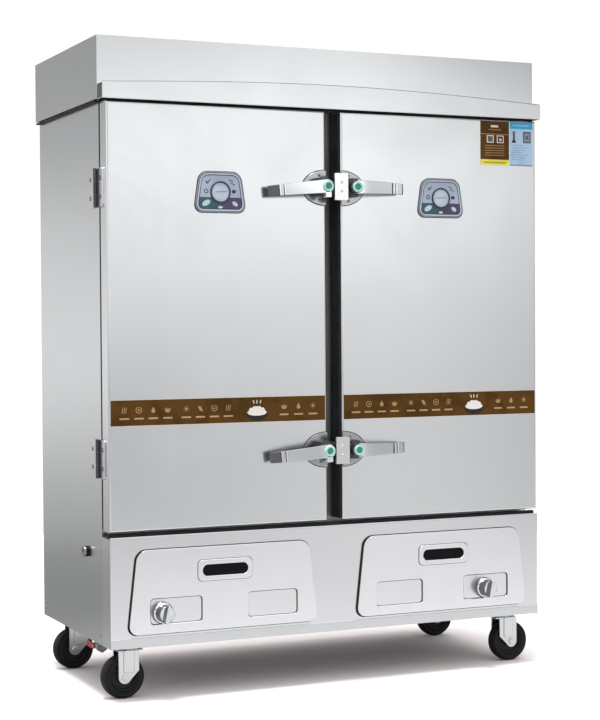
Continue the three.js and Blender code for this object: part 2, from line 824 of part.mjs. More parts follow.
function waterInlet() {
  const start = at(-sideX - fittingReach, inletY, inletZ);
  const turn = at(riserX, inletY, inletZ);
  const end = at(riserX, inletY, inletZ + riserHeight);
  const line = pipe([start, turn, end], pipeRadius, pipeBend);
  const flange = turned([
    [0, 0], [fittingRadius, 0], [fittingRadius, fittingFlange], [0, fittingFlange],
  ], 'x', [-sideX - gap - fittingFlange, inletY, inletZ], smallSides);
  const nose = turned([
    [0, 0], [pipeRadius + gap, 0], [fittingRadius - sheet, fittingFlange], [0, fittingFlange],
  ], 'x', [-sideX - fittingReach, inletY, inletZ], smallSides);
  const mouth = rod(pipeMouth, mouthDepth + overrun, 'x',
    [-sideX - fittingReach - overrun, inletY, inletZ]);
  const body = rod(floatBodyRadius, floatBodyHeight, 'z',
    [riserX, inletY, inletZ + riserHeight - floatBodyHeight / 2], smallSides);
  const earWidth = floatArmRadius * 2;
  const ears = [-1, 1].map((hand) => {
    const y = inletY + hand * (floatArmRadius + floatPivotGap + earWidth / 2);
    return block(
      [riserX, floatPivot.x + floatArmRadius * 2],
      [y - earWidth / 2, y + earWidth / 2],
      [floatPivot.z - floatArmRadius * 2, floatPivot.z + floatArmRadius * 2]);
  });
  const span = floatArmRadius * 2 + floatPivotGap * 2 + earWidth * 2;
  const pin = rod(floatArmRadius / 2, span, 'y', [floatPivot.x, inletY - span / 2, floatPivot.z]);
  return cut(join(line, flange, nose, body, ...ears, pin), mouth);
}
piece('water_inlet', 'brass', waterInlet());

// Float arm: swings on the valve body's pin and carries the ball
function floatArm() {
  const pivotEye = rod(floatArmRadius * 2, floatArmRadius * 2, 'y',
    [0, -floatArmRadius, 0], smallSides);
  const bore = rod(floatArmRadius / 2 + hingeRunning, floatArmRadius * 4, 'y',
    [0, -floatArmRadius * 2, 0], smallSides);
  const arm = rod(floatArmRadius, floatArmLength, 'x', [floatArmRadius, 0, 0], smallSides);
  const ball = new THREE.SphereGeometry(floatRadius, smallSides, smallSides / 2);
  ball.translate(floatArmLength + floatRadius - overrun, 0, 0);
  const whole = cut(join(pivotEye, arm, ball), bore);
  return whole.rotateY(floatArmDrop).translate(floatPivot.x, inletY, floatPivot.z);
}
piece('float_arm', 'polished', floatArm());

function drainLever() {
  const outerX = -drainX - drainValveRadius - drainStemReach;
  const outline = rounded(corners(
    [drainY - drainLeverWidth / 2, drainY + drainLeverLength],
    [drainZ - drainLeverWidth / 2, drainZ + drainLeverWidth / 2]), drainLeverWidth / 2 - gap);
  const plate = slab(outline, drainLeverThickness, 'side', outerX + gap);
  const hole = rod(drainStemRadius + hingeRunning, drainLeverThickness + overrun * 2, 'x',
    [outerX - overrun, drainY, drainZ], roundSides);
  return cut(plate, hole);
}
piece('drain_lever', 'red', drainLever());

// Burners: a cast head on three legs under each tank, fed by a bent mixing tube
function burner(valveX) {
  const y = faceY + burnerBack;
  const half = burnerDepth / 2;
  const head = turned([[0, -half], [burnerRadius, -half], [burnerRadius, half], [0, half]], 'z',
    [chamberMiddleX, y, burnerZ]);
  const grooves = burnerRings.map((radius) => turned([
    [radius, half - burnerGroove], [radius + burnerGroove, half - burnerGroove],
    [radius + burnerGroove, half + overrun], [radius, half + overrun], [radius, half - burnerGroove],
  ], 'y', [0, 0, 0]).rotateX(Math.PI / 2).translate(chamberMiddleX, y, burnerZ));
  const legs = [0, 1, 2].map((i) => {
    const angle = Math.PI / 2 + (i * Math.PI * 2) / 3;
    const reach = burnerRadius - burnerLegInset;
    const bottom = chassisTop + gap;
    return rod(burnerLegRadius, burnerZ - bottom, 'z',
      [chamberMiddleX + reach * Math.cos(angle), y + reach * Math.sin(angle), bottom], smallSides);
  });
  const tube = pipe([
    at(valveX, faceY + venturiFront, burnerZ),
    at(valveX, y - burnerRadius, burnerZ),
    at(chamberMiddleX, y, burnerZ),
  ], venturiRadius, venturiBend);
  return join(cut(head, ...grooves), ...legs, tube);
}
piece('left_burner', 'iron', mirrored(burner(-knobX.left)));
piece('right_burner', 'iron', burner(knobX.right));

// Gas manifold: a cross pipe with one valve per burner and a line to the inlet at the back
const manifoldZ = knobZ - manifoldDrop;
const manifoldY = faceY + manifoldBack;

function gasManifold() {
  const ends = [knobX.left - manifoldEnd, knobX.right + manifoldEnd];
  const cross = rod(manifoldRadius, ends[1] - ends[0], 'x', [ends[0], manifoldY, manifoldZ], smallSides);
  const valves = Object.values(knobX).flatMap((x) => [
    rod(valveRadius, valveLength, 'y', [x, faceY + valveFront, knobZ], smallSides),
    rod(manifoldRadius, manifoldDrop, 'z', [x, manifoldY, manifoldZ], smallSides),
  ]);
  const line = pipe([
    at(gasInletX, manifoldY, manifoldZ),
    at(gasInletX, manifoldY + pipeBend * 3, manifoldZ - pipeBend),
    at(gasInletX, backY - gasNutDepth * 2, manifoldZ - pipeBend),
    at(gasInletX, backY - gasNutDepth, gasInletZ),
  ], pipeRadius, pipeBend / 2);
  const nut = rod(gasNutRadius, gasNutDepth * 1.5, 'y', [gasInletX, backY - gasNutDepth * 1.5, gasInletZ],
    hexSides);
  const mouth = rod(pipeMouth, mouthDepth + overrun, 'y', [gasInletX, backY - mouthDepth, gasInletZ]);
  return cut(join(cross, ...valves, line, nut), mouth);
}
piece('gas_manifold', 'brass', gasManifold());

// Caster mount: a plate under the pan, the swivel race and the kingpin with its nut
const casterYs = { front: faceY + casterFrontBack, rear: backY - casterRearInset };
const plateBottom = bodyBottom - casterPlateThickness;
const raceBottom = plateBottom - raceDepth;
const forkTop = raceBottom - gap;

function casterMount(y) {
  const plate = slab(
    rounded(boxCorners(casterX, casterPlateWidth / 2, y, casterPlateDepth / 2), casterPlateThickness * 2),
    casterPlateThickness + chassisSheet / 2, 'top', plateBottom);
  const race = turned([
    [0, 0], [raceRadius - sheet * 2, 0], [raceRadius, sheet * 2], [raceRadius, raceDepth + sheet],
    [0, raceDepth + sheet],
  ], 'y', [0, 0, 0]).rotateX(Math.PI / 2).translate(casterX, y, raceBottom);
  const pinBottom = forkTop - forkThickness - gap - kingpinNutDepth;
  const kingpin = rod(kingpinRadius, raceBottom - pinBottom + sheet, 'z', [casterX, y, pinBottom]);
  const nut = rod(kingpinNutRadius, kingpinNutDepth, 'z', [casterX, y, pinBottom], hexSides);
  return join(plate, race, kingpin, nut);
}

// Chassis pan: the floor of the base, with air slots under the burners and a mount for each caster
function chassis() {
  const ys = [baseFrontY + sheet + gap, insideBackY];
  const x = insideX;
  const fold = foldRadius - sheet;
  const pan = slab(rounded(corners([-x, x], ys), [fold, fold, 0, 0]), chassisFlange, 'top', bodyBottom);
  const room = block(
    [-x + chassisSheet, x - chassisSheet],
    [ys[0] + chassisSheet, ys[1] - chassisSheet],
    [chassisTop, bodyBottom + chassisFlange + overrun]);
  const through = [bodyBottom - overrun, chassisTop + overrun];
  const slots = [-chamberMiddleX, chamberMiddleX].flatMap((middle) =>
    airSlotCutters(middle, faceY + burnerBack, (slotXs, slotYs) => block(slotXs, slotYs, through)));
  const drainHole = rod(pipeRadius + gap, through[1] - through[0], 'z', [-drainX, drainY, through[0]]);
  const mounts = Object.values(casterYs).map(casterMount);
  return join(cut(pan, room, ...slots, drainHole), ...mounts, ...mounts.map(mirrored));
}
piece('chassis', 'brushed', chassis());

// Base front: a box open at the back that closes the burner space
function baseFront() {
  const plan = (inset, radius, back) =>
    rounded(corners([-sideX + inset, sideX - inset], [baseFrontY + inset, back]), radius);
  const outer = slab(plan(0, foldRadius, faceY + foldRadius), baseHeight, 'top', bodyBottom);
  const trim = block([-bodyWidth, bodyWidth], [faceY - gap, faceY + overrun + foldRadius],
    [bodyBottom - overrun, baseTop + overrun]);
  const room = slab(plan(sheet, foldRadius - sheet, faceY + overrun * 2), baseHeight - sheet * 2, 'top',
    bodyBottom + sheet);
  const floor = block([-insideX, insideX], [baseFrontY + sheet, faceY + overrun],
    [bodyBottom - overrun, bodyBottom + sheet + overrun]);
  const spindles = Object.values(knobX).map((x) =>
    rod(knobSpindleHole, sheet + overrun * 2, 'y', [x, baseFrontY - overrun, knobZ], smallSides));
  const windows = [-panelX, panelX].map((x) => slab(
    rounded(boxCorners(x, slotWidth / 2 - slotHeight / 4, slotZ, slotHeight / 4), slotHeight / 4 - gap),
    sheet + overrun * 2, 'front', baseFrontY + sheet + overrun));
  return cut(outer, trim, room, floor, ...spindles, ...windows);
}
piece('base_front', 'brushed', baseFront());

// Burner panels: pressed covers with a sight window, a pocket for the knob and a blank pocket
function burnerPanel(hand) {
  const outline = (inset) => rounded([
    [panelX - panelBottomHalf + inset, panelBottomZ + inset],
    [panelX + panelBottomHalf - inset, panelBottomZ + inset],
    [panelX + panelTopHalf - inset, panelBottomZ + panelHeight - inset],
    [panelX - panelTopHalf + inset, panelBottomZ + panelHeight - inset],
  ], panelCorner - inset);
  const backY = baseFrontY - gap;
  const outer = pillow(outline(0), panelDepth, panelEdge, panelFrontY);
  const hollow = slab(outline(panelWall), panelDepth - panelWall + overrun, 'front', backY + overrun);
  const pocket = (x, grow, depth, start) => slab(
    rounded(boxCorners(x, pocketWidth / 2 + grow, pocketZ, pocketHeight / 2 + grow), pocketRadius + grow),
    depth, 'front', start);
  const places = [panelX - pocketOffset, panelX + pocketOffset];
  const walls = places.map((x) => pocket(x, panelWall, panelDepth + overrun, backY + overrun));
  const pockets = places.map((x) => pocket(x, 0, pocketDepth + overrun, panelFrontY + pocketDepth));
  const bezelOutline = rounded(
    boxCorners(panelX, slotBezelWidth / 2, slotZ, slotBezelHeight / 2), slotBezelRadius);
  const slotOutline = rounded(
    boxCorners(panelX, slotWidth / 2, slotZ, slotHeight / 2), slotHeight / 2 - gap);
  const bezelCore = slab(bezelOutline, panelDepth + overrun, 'front', backY + overrun);
  const bezelRim = slab(bezelOutline, slotBezelRise + panelWall, 'front', panelFrontY + panelWall);
  const slot = slab(slotOutline, slotDepth + overrun, 'front', panelFrontY - slotBezelRise + slotDepth);
  const knobHoleX = hand === 'left' ? -knobX.left : knobX.right;
  const spindleHole = rod(knobSpindleHole, panelDepth + overrun * 2, 'y',
    [knobHoleX, panelFrontY - overrun, knobZ], smallSides);
  const skin = cut(outer, cut(hollow, ...walls, bezelCore));
  return cut(join(skin, bezelRim), ...pockets, slot, spindleHole);
}
for (const side of Object.keys(sides)) {
  piece(`${side}_burner_panel`, 'pressed', onSide(side, burnerPanel(side)));
}

// Gas knobs: a skirt, a body and a bar grip, on a spindle that reaches the valve
function knob(x) {
  const back = panelFrontY + pocketDepth - gap;
  const front = panelFrontY - knobReach;
  const skirtFront = back - knobSkirtDepth;
  const crest = front + knobSkirtDepth;
  const body = turned([
    [0, crest - sheet], [knobBodyRadius - sheet * 3, crest - sheet], [knobBodyRadius - sheet, crest],
    [knobBodyRadius, skirtFront - sheet], [knobSkirtRadius - sheet, skirtFront],
    [knobSkirtRadius, skirtFront + sheet], [knobSkirtRadius, back], [0, back],
  ], 'y', [0, 0, 0]);
  const length = knobBodyRadius * 2;
  const grip = slab(
    rounded(boxCorners(0, knobGripWidth / 2, 0, length / 2), knobGripWidth / 2 - gap),
    skirtFront - front, 'front', skirtFront);
  const spindleBack = faceY + valveFront - gap;
  const spindle = rod(knobSpindleRadius, spindleBack - back + overrun, 'y', [0, back - overrun, 0]);
  return join(body, grip, spindle).rotateY(knobTurn).translate(x, 0, knobZ);
}
for (const [side, x] of Object.entries(knobX)) {
  piece(`${side}_gas_knob`, 'polished', knob(x));
}

// Doors
const doorPoints = (inset) => corners(
  [doorSkinX + inset, sideX - inset], [doorBottom + inset, doorTop - inset]);

// A box whose four front edges are rounded
function softBox(inset, front, back) {
  const edge = doorEdgeRadius - inset;
  const plan = rounded(corners([doorSkinX + inset, sideX - inset], [front, back]), [edge, edge, 0, 0]);
  const side = rounded(corners([front, back], [doorBottom + inset, doorTop - inset]), [edge, 0, 0, edge]);
  return common(
    slab(plan, overallHeight, 'top', 0),
    slab(side, bodyWidth, 'side', 0));
}

function doorSkin() {
  return cut(softBox(0, doorFrontY, doorBackY), softBox(sheet, doorFrontY + sheet, doorBackY + overrun));
}

function doorInner() {
  const inset = sheet + gap;
  const plate = slab(rounded(doorPoints(inset), doorCornerRadius), linerSheet, 'front', doorBackY);
  const raised = (grow) => rounded(doorPoints(pressedInset + grow), pressedRadius);
  const boss = slab(raised(0), pressedDepth, 'front', doorBackY + pressedDepth - linerSheet);
  const hollow = slab(raised(linerSheet), pressedDepth + overrun, 'front',
    doorBackY + pressedDepth - linerSheet * 2);
  return cut(join(plate, boss), hollow);
}

function doorFoam() {
  const inset = sheet + gap;
  return softBox(inset, doorFrontY + inset, doorBackY - linerSheet - gap);
}

// Door seal: a ring that meets the face, and a strip over the door's meeting edge, moulded as one
function doorSeal() {
  const xs = [chamberX[0] + linerSheet - gasketInset, chamberX[1] - linerSheet + gasketInset];
  const zs = [chamberZ[0] - gasketInset, chamberZ[1] + gasketInset];
  const outer = rounded(corners(
    [xs[0] - gasketWidth, xs[1] + gasketWidth], [zs[0] - gasketWidth, zs[1] + gasketWidth]), gasketWidth);
  const inner = rounded(corners(xs, zs), gasketInset);
  outer.holes.push(new THREE.Path(inner.getPoints(cornerSteps)));
  const ring = slab(outer, gasketDepth - gap * 2, 'front', faceY - gap);
  const stripZ = [doorBottom + doorCornerRadius, doorTop - doorCornerRadius];
  const webBack = doorBackY + gap + edgeStripDepth;
  const strip = block([doorInnerX, doorInnerX + edgeStripDepth], [doorFrontY + doorEdgeRadius, webBack],
    stripZ);
  const web = block([doorInnerX, xs[0] - gasketWidth / 2], [doorBackY + gap, webBack],
    [zs[0], zs[1]]);
  return join(ring, strip, web);
}

function band() {
  const back = doorFrontY - gap;
  return block(
    [doorSkinX + doorEdgeRadius, sideX - doorEdgeRadius],
    [back - bandThickness, back],
    [bandCentre - bandHeight / 2, bandCentre + bandHeight / 2]);
}

function gauge() {
  const outline = (inset) => rounded([
    [gaugeX - gaugeBottomWidth / 2 + inset, gaugeZ - gaugeHeight / 2 + inset],
    [gaugeX + gaugeBottomWidth / 2 - inset, gaugeZ - gaugeHeight / 2 + inset],
    [gaugeX + gaugeTopWidth / 2 - inset, gaugeZ + gaugeHeight / 2 - inset],
    [gaugeX - gaugeTopWidth / 2 + inset, gaugeZ + gaugeHeight / 2 - inset],
  ], gaugeCornerRadius - inset);
  const back = doorFrontY - gap;
  const front = back - gaugeThickness;
  const plate = slab(outline(0), gaugeThickness, 'front', back);
  const face = slab(outline(gaugeRim), gaugeFaceDepth + overrun, 'front', front + gaugeFaceDepth);
  const dialFront = front - dialThickness + gaugeFaceDepth;
  const dial = turned([
    [0, dialFront], [dialRadius - sheet, dialFront], [dialRadius, dialFront + sheet],
    [dialRadius, back - sheet], [0, back - sheet],
  ], 'y', [gaugeX, 0, gaugeZ]);
  return join(cut(plate, face), dial);
}

// Latch plates: a half-round plate and the block that holds the lever's pin
const leverFrontY = doorFrontY - latchReach + capDepth;
const leverBackY = leverFrontY + leverHubDepth;

function latchPlate(z) {
  const back = doorFrontY - gap;
  const innerX = doorInnerX + latchPlateInset;
  const outline = new THREE.Shape();
  outline.moveTo(innerX, z - latchPlateHeight / 2);
  outline.absellipse(innerX, z, latchPlateWidth, latchPlateHeight / 2, -Math.PI / 2, Math.PI / 2);
  outline.closePath();
  const options = { depth: latchPlateThickness, bevelEnabled: false, curveSegments: smallSides };
  const plate = new THREE.ExtrudeGeometry(outline, options).applyMatrix4(facing.front).translate(0, back, 0);
  const blockBack = back - latchPlateThickness / 2;
  const pivotBlock = slab(
    rounded(boxCorners(latchPivotX, latchBlockWidth / 2, z, latchBlockHeight / 2), latchPlateThickness),
    blockBack - leverBackY - camDepth - gap * 2, 'front', blockBack);
  const pinBack = leverBackY + camDepth + gap * 4;
  const pin = rod(leverPinRadius, pinBack - leverBackY + leverPinLength, 'y',
    [latchPivotX, leverBackY - leverPinLength, z], smallSides);
  const screws = latchScrewShares.map(([xShare, zShare]) =>
    dome(back - latchPlateThickness, innerX + latchPlateWidth * xShare, z + latchPlateHeight * zShare));
  return join(plate, pivotBlock, pin, ...screws);
}

// Hinges: a leaf with its knuckles, bored for the pin, which stays in the body's leaf
function hingeHalf(z, knuckles, leafYs, screwY) {
  const inner = sideX + gap;
  const leafOutline = rounded(corners(leafYs, [z - hingeLength / 2, z + hingeLength / 2]), hingeCorner);
  const square = block([inner, inner + hingeLeaf], [Math.min(...leafYs), Math.max(...leafYs)],
    [z - hingeLength / 2 + hingeCorner, z + hingeLength / 2 - hingeCorner]);
  const leaf = join(slab(leafOutline, hingeLeaf, 'side', inner), square);
  const third = hingeLength / 3;
  const barrels = knuckles.map((i) => {
    const bottom = z - hingeLength / 2 + i * third;
    return rod(hingeBarrelRadius, third - gap, 'z', [hingeX, hingeY, bottom], hingeSides);
  });
  const cleared = [0, 1, 2].filter((i) => !knuckles.includes(i)).map((i) => {
    const bottom = z - hingeLength / 2 + i * third;
    const reach = hingeBarrelRadius + gap * 2;
    return block([inner - overrun, hingeX + reach], [hingeY - reach, hingeY + reach],
      [bottom - gap * 2, bottom + third + gap]);
  });
  const bore = rod(hingePinRadius + hingeRunning, hingeLength + overrun * 2, 'z',
    [hingeX, hingeY, z - hingeLength / 2 - overrun], hingeSides);
  const screwPits = [-1, 1].map((hand) => rod(hingeScrewRadius, hingeLeaf + overrun, 'x',
    [inner + hingeLeaf - hingeScrewPit, screwY, z + hand * hingeScrewSpacing / 2], smallSides));
  return cut(join(cut(leaf, ...cleared), ...barrels), bore, ...screwPits);
}

const bodyLeafYs = [hingeY, hingeY + hingeBodyLeaf];
const doorLeafYs = [hingeY - hingeDoorLeaf, hingeY];
const hingePin = (z) => rod(hingePinRadius, hingeLength, 'z',
  [hingeX, hingeY, z - hingeLength / 2], hingeSides);
const pinCaps = (z) => [z - hingeLength / 2, z + hingeLength / 2 - hingePinCap].map((bottom) =>
  rod(hingePinRadius + hingeRunning * 2, hingePinCap, 'z', [hingeX, hingeY, bottom], hingeSides));
const bodyHinge = (z) => join(
  hingeHalf(z, [0, 2], bodyLeafYs, hingeY + hingeBodyLeaf / 2 + gap), hingePin(z), ...pinCaps(z));
const doorHinge = (z) => hingeHalf(z, [1], doorLeafYs, hingeY - hingeDoorLeaf + hingeScrewInset);

for (const side of Object.keys(sides)) {
  piece(`${side}_door_skin`, 'brushed', onSide(side, doorSkin()));
  piece(`${side}_door_inner`, 'liner', onSide(side, doorInner()));
  piece(`${side}_door_foam`, 'foam', onSide(side, doorFoam()));
  piece(`${side}_door_seal`, 'rubber', onSide(side, doorSeal()));
  piece(`${side}_band`, 'brown', onSide(side, band()));
  piece(`${side}_gauge`, 'badge', onSide(side, gauge()));
  levels.forEach((level, i) => {
    const hinge = `${side}_${level}_hinge`;
    piece(`${side}_${level}_latch_plate`, 'polished', onSide(side, latchPlate(latchHeights[i])));
    piece(`${hinge}_door_leaf`, 'polished', onSide(side, doorHinge(hingeHeights[i])));
    piece(`${hinge}_body_leaf`, 'polished', onSide(side, bodyHinge(hingeHeights[i])));
  });
}

// Lever: hub, cam, arched arm with two ridges near its tip, and a round cap over the pin
function lever(z, droop) {
  const hub = rod(leverHubRadius, leverHubDepth, 'y', [0, leverFrontY, 0], roundSides);
  const cam = rod(camRadius, camDepth, 'y', [0, leverBackY, 0], roundSides);
  const bore = rod(leverPinRadius + hingeRunning, leverPinLength + camDepth + overrun, 'y',
    [0, leverBackY - leverPinLength - gap, 0], roundSides);
  const tipY = doorFrontY - leverTipStandoff;
  const middleY = leverFrontY + leverThickness / 2;
  const curve = new THREE.QuadraticBezierCurve(
    new THREE.Vector2(0, middleY),
    new THREE.Vector2(leverLength * leverBowShare, middleY),
    new THREE.Vector2(leverLength, tipY - leverThickness / 2));
  const line = curve.getPoints(smallSides);
  const normals = line.map((_, i) => {
    const tangent = curve.getTangent(i / smallSides);
    return new THREE.Vector2(-tangent.y, tangent.x).multiplyScalar(leverThickness / 2);
  });
  const front = line.map((p, i) => p.clone().sub(normals[i]));
  const rear = line.map((p, i) => p.clone().add(normals[i])).reverse();
  const plan = slab(new THREE.Shape([...front, ...rear]), leverHubHeight, 'top', -leverHubHeight / 2);
  const faceOutline = new THREE.Shape([
    [0, -leverHubHeight / 2], [leverLength, -leverTipHeight / 2],
    [leverLength, leverTipHeight / 2], [0, leverHubHeight / 2],
  ].map(([x, y]) => new THREE.Vector2(x, y)));
  const reach = latchReach * 2;
  const trim = slab(faceOutline, reach, 'front', doorFrontY + overrun);
  const ridges = leverRidgeX.map((x) => {
    const spot = curve.getPoints(roundSides).find((p) => p.x >= x);
    return block([x, x + leverRidgeWidth],
      [spot.y - leverThickness / 2 - leverRidgeHeight, spot.y],
      [-leverTipHeight / 2, leverTipHeight / 2]);
  });
  const cap = turned([
    [0, 0], [capRadius - sheet, 0], [capRadius, sheet], [capRadius, capDepth + sheet], [0, capDepth + sheet],
  ], 'y', [0, leverFrontY - capDepth, 0]);
  const arm = cut(join(hub, cam, common(plan, trim), ...ridges), bore);
  return join(arm, cap).rotateY(droop).translate(latchPivotX, 0, z);
}

levels.forEach((level, i) => {
  piece(`left_${level}_lever`, 'polished', mirrored(lever(latchHeights[i], leverDroop)));
  piece(`right_${level}_lever`, 'polished', lever(latchHeights[i], 0));
});

// Caster fork: a bridge under the race, two ribbed legs and the axle bolt through them
const legInner = wheelWidth / 2 + forkSideGap;

function casterFork(y) {
  const axleX = casterX + casterTrail;
  const outerY = legInner + forkThickness;
  const bridge = block([casterX - forkTopHalf, casterX + forkTopHalf], [y - outerY, y + outerY],
    [forkTop - forkThickness, forkTop]);
  const outline = new THREE.Shape();
  outline.moveTo(casterX - forkTopHalf, forkTop);
  outline.lineTo(axleX - forkTipRadius, wheelRadius);
  outline.absarc(axleX, wheelRadius, forkTipRadius, Math.PI, Math.PI * 2);
  outline.lineTo(casterX + forkTopHalf, forkTop);
  outline.closePath();
  const legs = [y - legInner, y + outerY].map((start) => slab(outline, forkThickness, 'front', start));
  const ribs = [y - outerY, y + outerY + forkRibDepth].map((start) => block(
    [axleX - forkRibWidth / 2, axleX + forkRibWidth / 2], [start, start - forkRibDepth],
    [wheelRadius + axleHeadRadius + gap, forkTop]));
  const pinHole = rod(kingpinRadius + gap, forkThickness + overrun * 2, 'z',
    [casterX, y, forkTop - forkThickness - overrun], smallSides);
  const bolt = rod(axleRadius, (outerY + axleHeadDepth) * 2, 'y',
    [axleX, y - outerY - axleHeadDepth, wheelRadius], smallSides);
  const heads = [y - outerY - axleHeadDepth, y + outerY - sheet].map((start) =>
    rod(axleHeadRadius, axleHeadDepth + sheet, 'y', [axleX, start, wheelRadius], hexSides));
  return join(cut(join(bridge, ...legs, ...ribs), pinHole), bolt, ...heads);
}

// The tread has a flat facet on the floor, so its corners lie a little outside the rolling radius
function casterWheel(y) {
  const axleX = casterX + casterTrail;
  const half = wheelWidth / 2;
  const treadRadius = wheelRadius / Math.cos(Math.PI / wheelSides);
  const shoulder = wheelWidth / 6;
  const inner = hubRadius - sheet;
  const tyre = turned([
    [inner, -half], [treadRadius - shoulder, -half], [treadRadius, -half + shoulder],
    [treadRadius, half - shoulder], [treadRadius - shoulder, half], [inner, half], [inner, -half],
  ], 'y', [0, 0, 0], wheelSides);
  const bore = axleRadius + axleRunning;
  const web = hubWidth / 4;
  const boss = hubRadius / 2.4;
  const hub = turned([
    [bore, -half], [boss, -half], [boss, -web], [hubRadius, -web],
    [hubRadius, web], [boss, web], [boss, half], [bore, half], [bore, -half],
  ], 'y', [0, 0, 0], wheelSides);
  const facet = Math.PI / wheelSides;
  return join(tyre, hub).rotateY(facet).translate(axleX, y, wheelRadius);
}

for (const [end, y] of Object.entries(casterYs)) {
  for (const side of Object.keys(sides)) {
    piece(`${end}_${side}_caster_fork`, 'polished', onSide(side, casterFork(y)));
    piece(`${end}_${side}_caster_wheel`, 'tyre', onSide(side, casterWheel(y)));
  }
}

export default cart;
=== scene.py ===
# %% [markdown]
# # Rice steaming cart
#
# A stainless cabinet on four casters: two steaming chambers behind latched doors, and a burner
# base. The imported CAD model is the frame, so every panel, hinge and wheel is already in its real
# place. This file gives each surface its finish and adds the small pieces that the CAD leaves
# plain: polished latches, badges, bands, cards, knobs and casters. Lengths are metres, +Z is up,
# and the front of the cart faces -Y.

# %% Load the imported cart
import json
import math

import bmesh
import bpy
from mathutils import Matrix, Vector
from mathutils.geometry import interpolate_bezier


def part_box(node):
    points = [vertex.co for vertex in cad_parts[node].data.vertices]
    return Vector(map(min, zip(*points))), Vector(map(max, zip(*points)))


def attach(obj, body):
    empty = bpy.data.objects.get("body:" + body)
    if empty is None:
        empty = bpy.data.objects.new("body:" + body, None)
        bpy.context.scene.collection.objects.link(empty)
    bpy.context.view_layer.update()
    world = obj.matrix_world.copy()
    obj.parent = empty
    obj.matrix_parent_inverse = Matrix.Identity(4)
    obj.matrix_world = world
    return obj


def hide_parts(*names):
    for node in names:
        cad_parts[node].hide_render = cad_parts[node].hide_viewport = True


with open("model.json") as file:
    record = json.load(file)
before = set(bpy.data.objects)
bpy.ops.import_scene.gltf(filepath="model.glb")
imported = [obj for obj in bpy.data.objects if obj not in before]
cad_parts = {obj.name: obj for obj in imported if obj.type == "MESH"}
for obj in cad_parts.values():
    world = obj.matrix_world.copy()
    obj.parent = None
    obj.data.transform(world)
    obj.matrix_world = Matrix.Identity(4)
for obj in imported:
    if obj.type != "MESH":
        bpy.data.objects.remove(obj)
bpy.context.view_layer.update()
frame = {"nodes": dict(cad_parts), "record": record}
MM = 0.001
SIDES = {"left": -1, "right": 1}
LEVELS = ("upper", "lower")

# %% [markdown]
# The photograph was taken from the left of the cart, from a little over half its height, with a
# long lens. A matrix built from the camera's own right, up and back directions holds the small
# roll and tilt without any guesswork in Euler angles.

# %% Stand the camera where the photographer stood
CAMERA_PLACE = (-1.7509, -3.9084, 0.8494)
CAMERA_YAW = math.radians(24.3664)
CAMERA_PITCH = math.radians(-1.1845)
CAMERA_ROLL = math.radians(-0.3668)
FOCAL_PIXELS = 1722.0
FRAME_HEIGHT_PIXELS = 720
SENSOR = 36.0
FAR_CLIP = 60


def add_object(name, data):
    made = bpy.data.objects.new(name, data)
    bpy.context.scene.collection.objects.link(made)
    return made


def camera_axes(yaw, pitch, roll):
    ahead = Vector((math.sin(yaw) * math.cos(pitch), math.cos(yaw) * math.cos(pitch), math.sin(pitch)))
    right = Vector((math.cos(yaw), -math.sin(yaw), 0))
    up = right.cross(ahead)
    rolled_right = right * math.cos(roll) + up * math.sin(roll)
    rolled_up = up * math.cos(roll) - right * math.sin(roll)
    return rolled_right, rolled_up, -ahead


camera = add_object("camera", bpy.data.cameras.new("camera"))
facing = Matrix(camera_axes(CAMERA_YAW, CAMERA_PITCH, CAMERA_ROLL)).transposed().to_4x4()
camera.matrix_world = Matrix.Translation(CAMERA_PLACE) @ facing
camera.data.sensor_width = SENSOR
camera.data.lens = SENSOR * FOCAL_PIXELS / FRAME_HEIGHT_PIXELS
camera.data.clip_end = FAR_CLIP
bpy.context.scene.camera = camera
print("lens", round(camera.data.lens, 1), "mm")

# %% [markdown]
# Every material and the sky are node trees. Four helpers keep them readable: one empties a tree, one
# adds a node with its settings and links in a single call, one makes a colour ramp and one a grey.

# %% Define the node helpers
def empty_tree(owner):
    owner.use_nodes = True
    owner.node_tree.nodes.clear()
    return owner.node_tree


def add_node(tree, kind, inputs=None, **settings):
    node = tree.nodes.new(kind)
    for name, value in settings.items():
        setattr(node, name, value)
    for name, value in (inputs or {}).items():
        socket = node.inputs[name]
        if isinstance(value, bpy.types.NodeSocket):
            tree.links.new(value, socket)
        else:
            socket.default_value = value
    return node


def ramp(tree, factor, stops, interpolation="EASE"):
    node = add_node(tree, "ShaderNodeValToRGB", {"Fac": factor})
    node.color_ramp.interpolation = interpolation
    while len(node.color_ramp.elements) < len(stops):
        node.color_ramp.elements.new(0.5)
    for element, (spot, colour) in zip(node.color_ramp.elements, stops):
        element.position = spot
        element.color = (*colour, 1)
    return node.outputs["Color"]


def grey(value):
    return (value, value, value)


print("node helpers ready")

# %% [markdown]
# Stainless steel shows what stands around it, so the light is the larger half of its look. Area
# lamps would leave hard shapes in it, so the studio is painted on the sky instead: a list of
# brightness from floor to ceiling for each zone, with a bright strip a little above the horizon.
# Three zones lie from left to right in the space that the doors face, one narrow zone parts them
# beside the camera, and a darker room stands behind the cart, which its sides mirror. Rays that
# come straight from the camera see plain white, so the background stays clean.

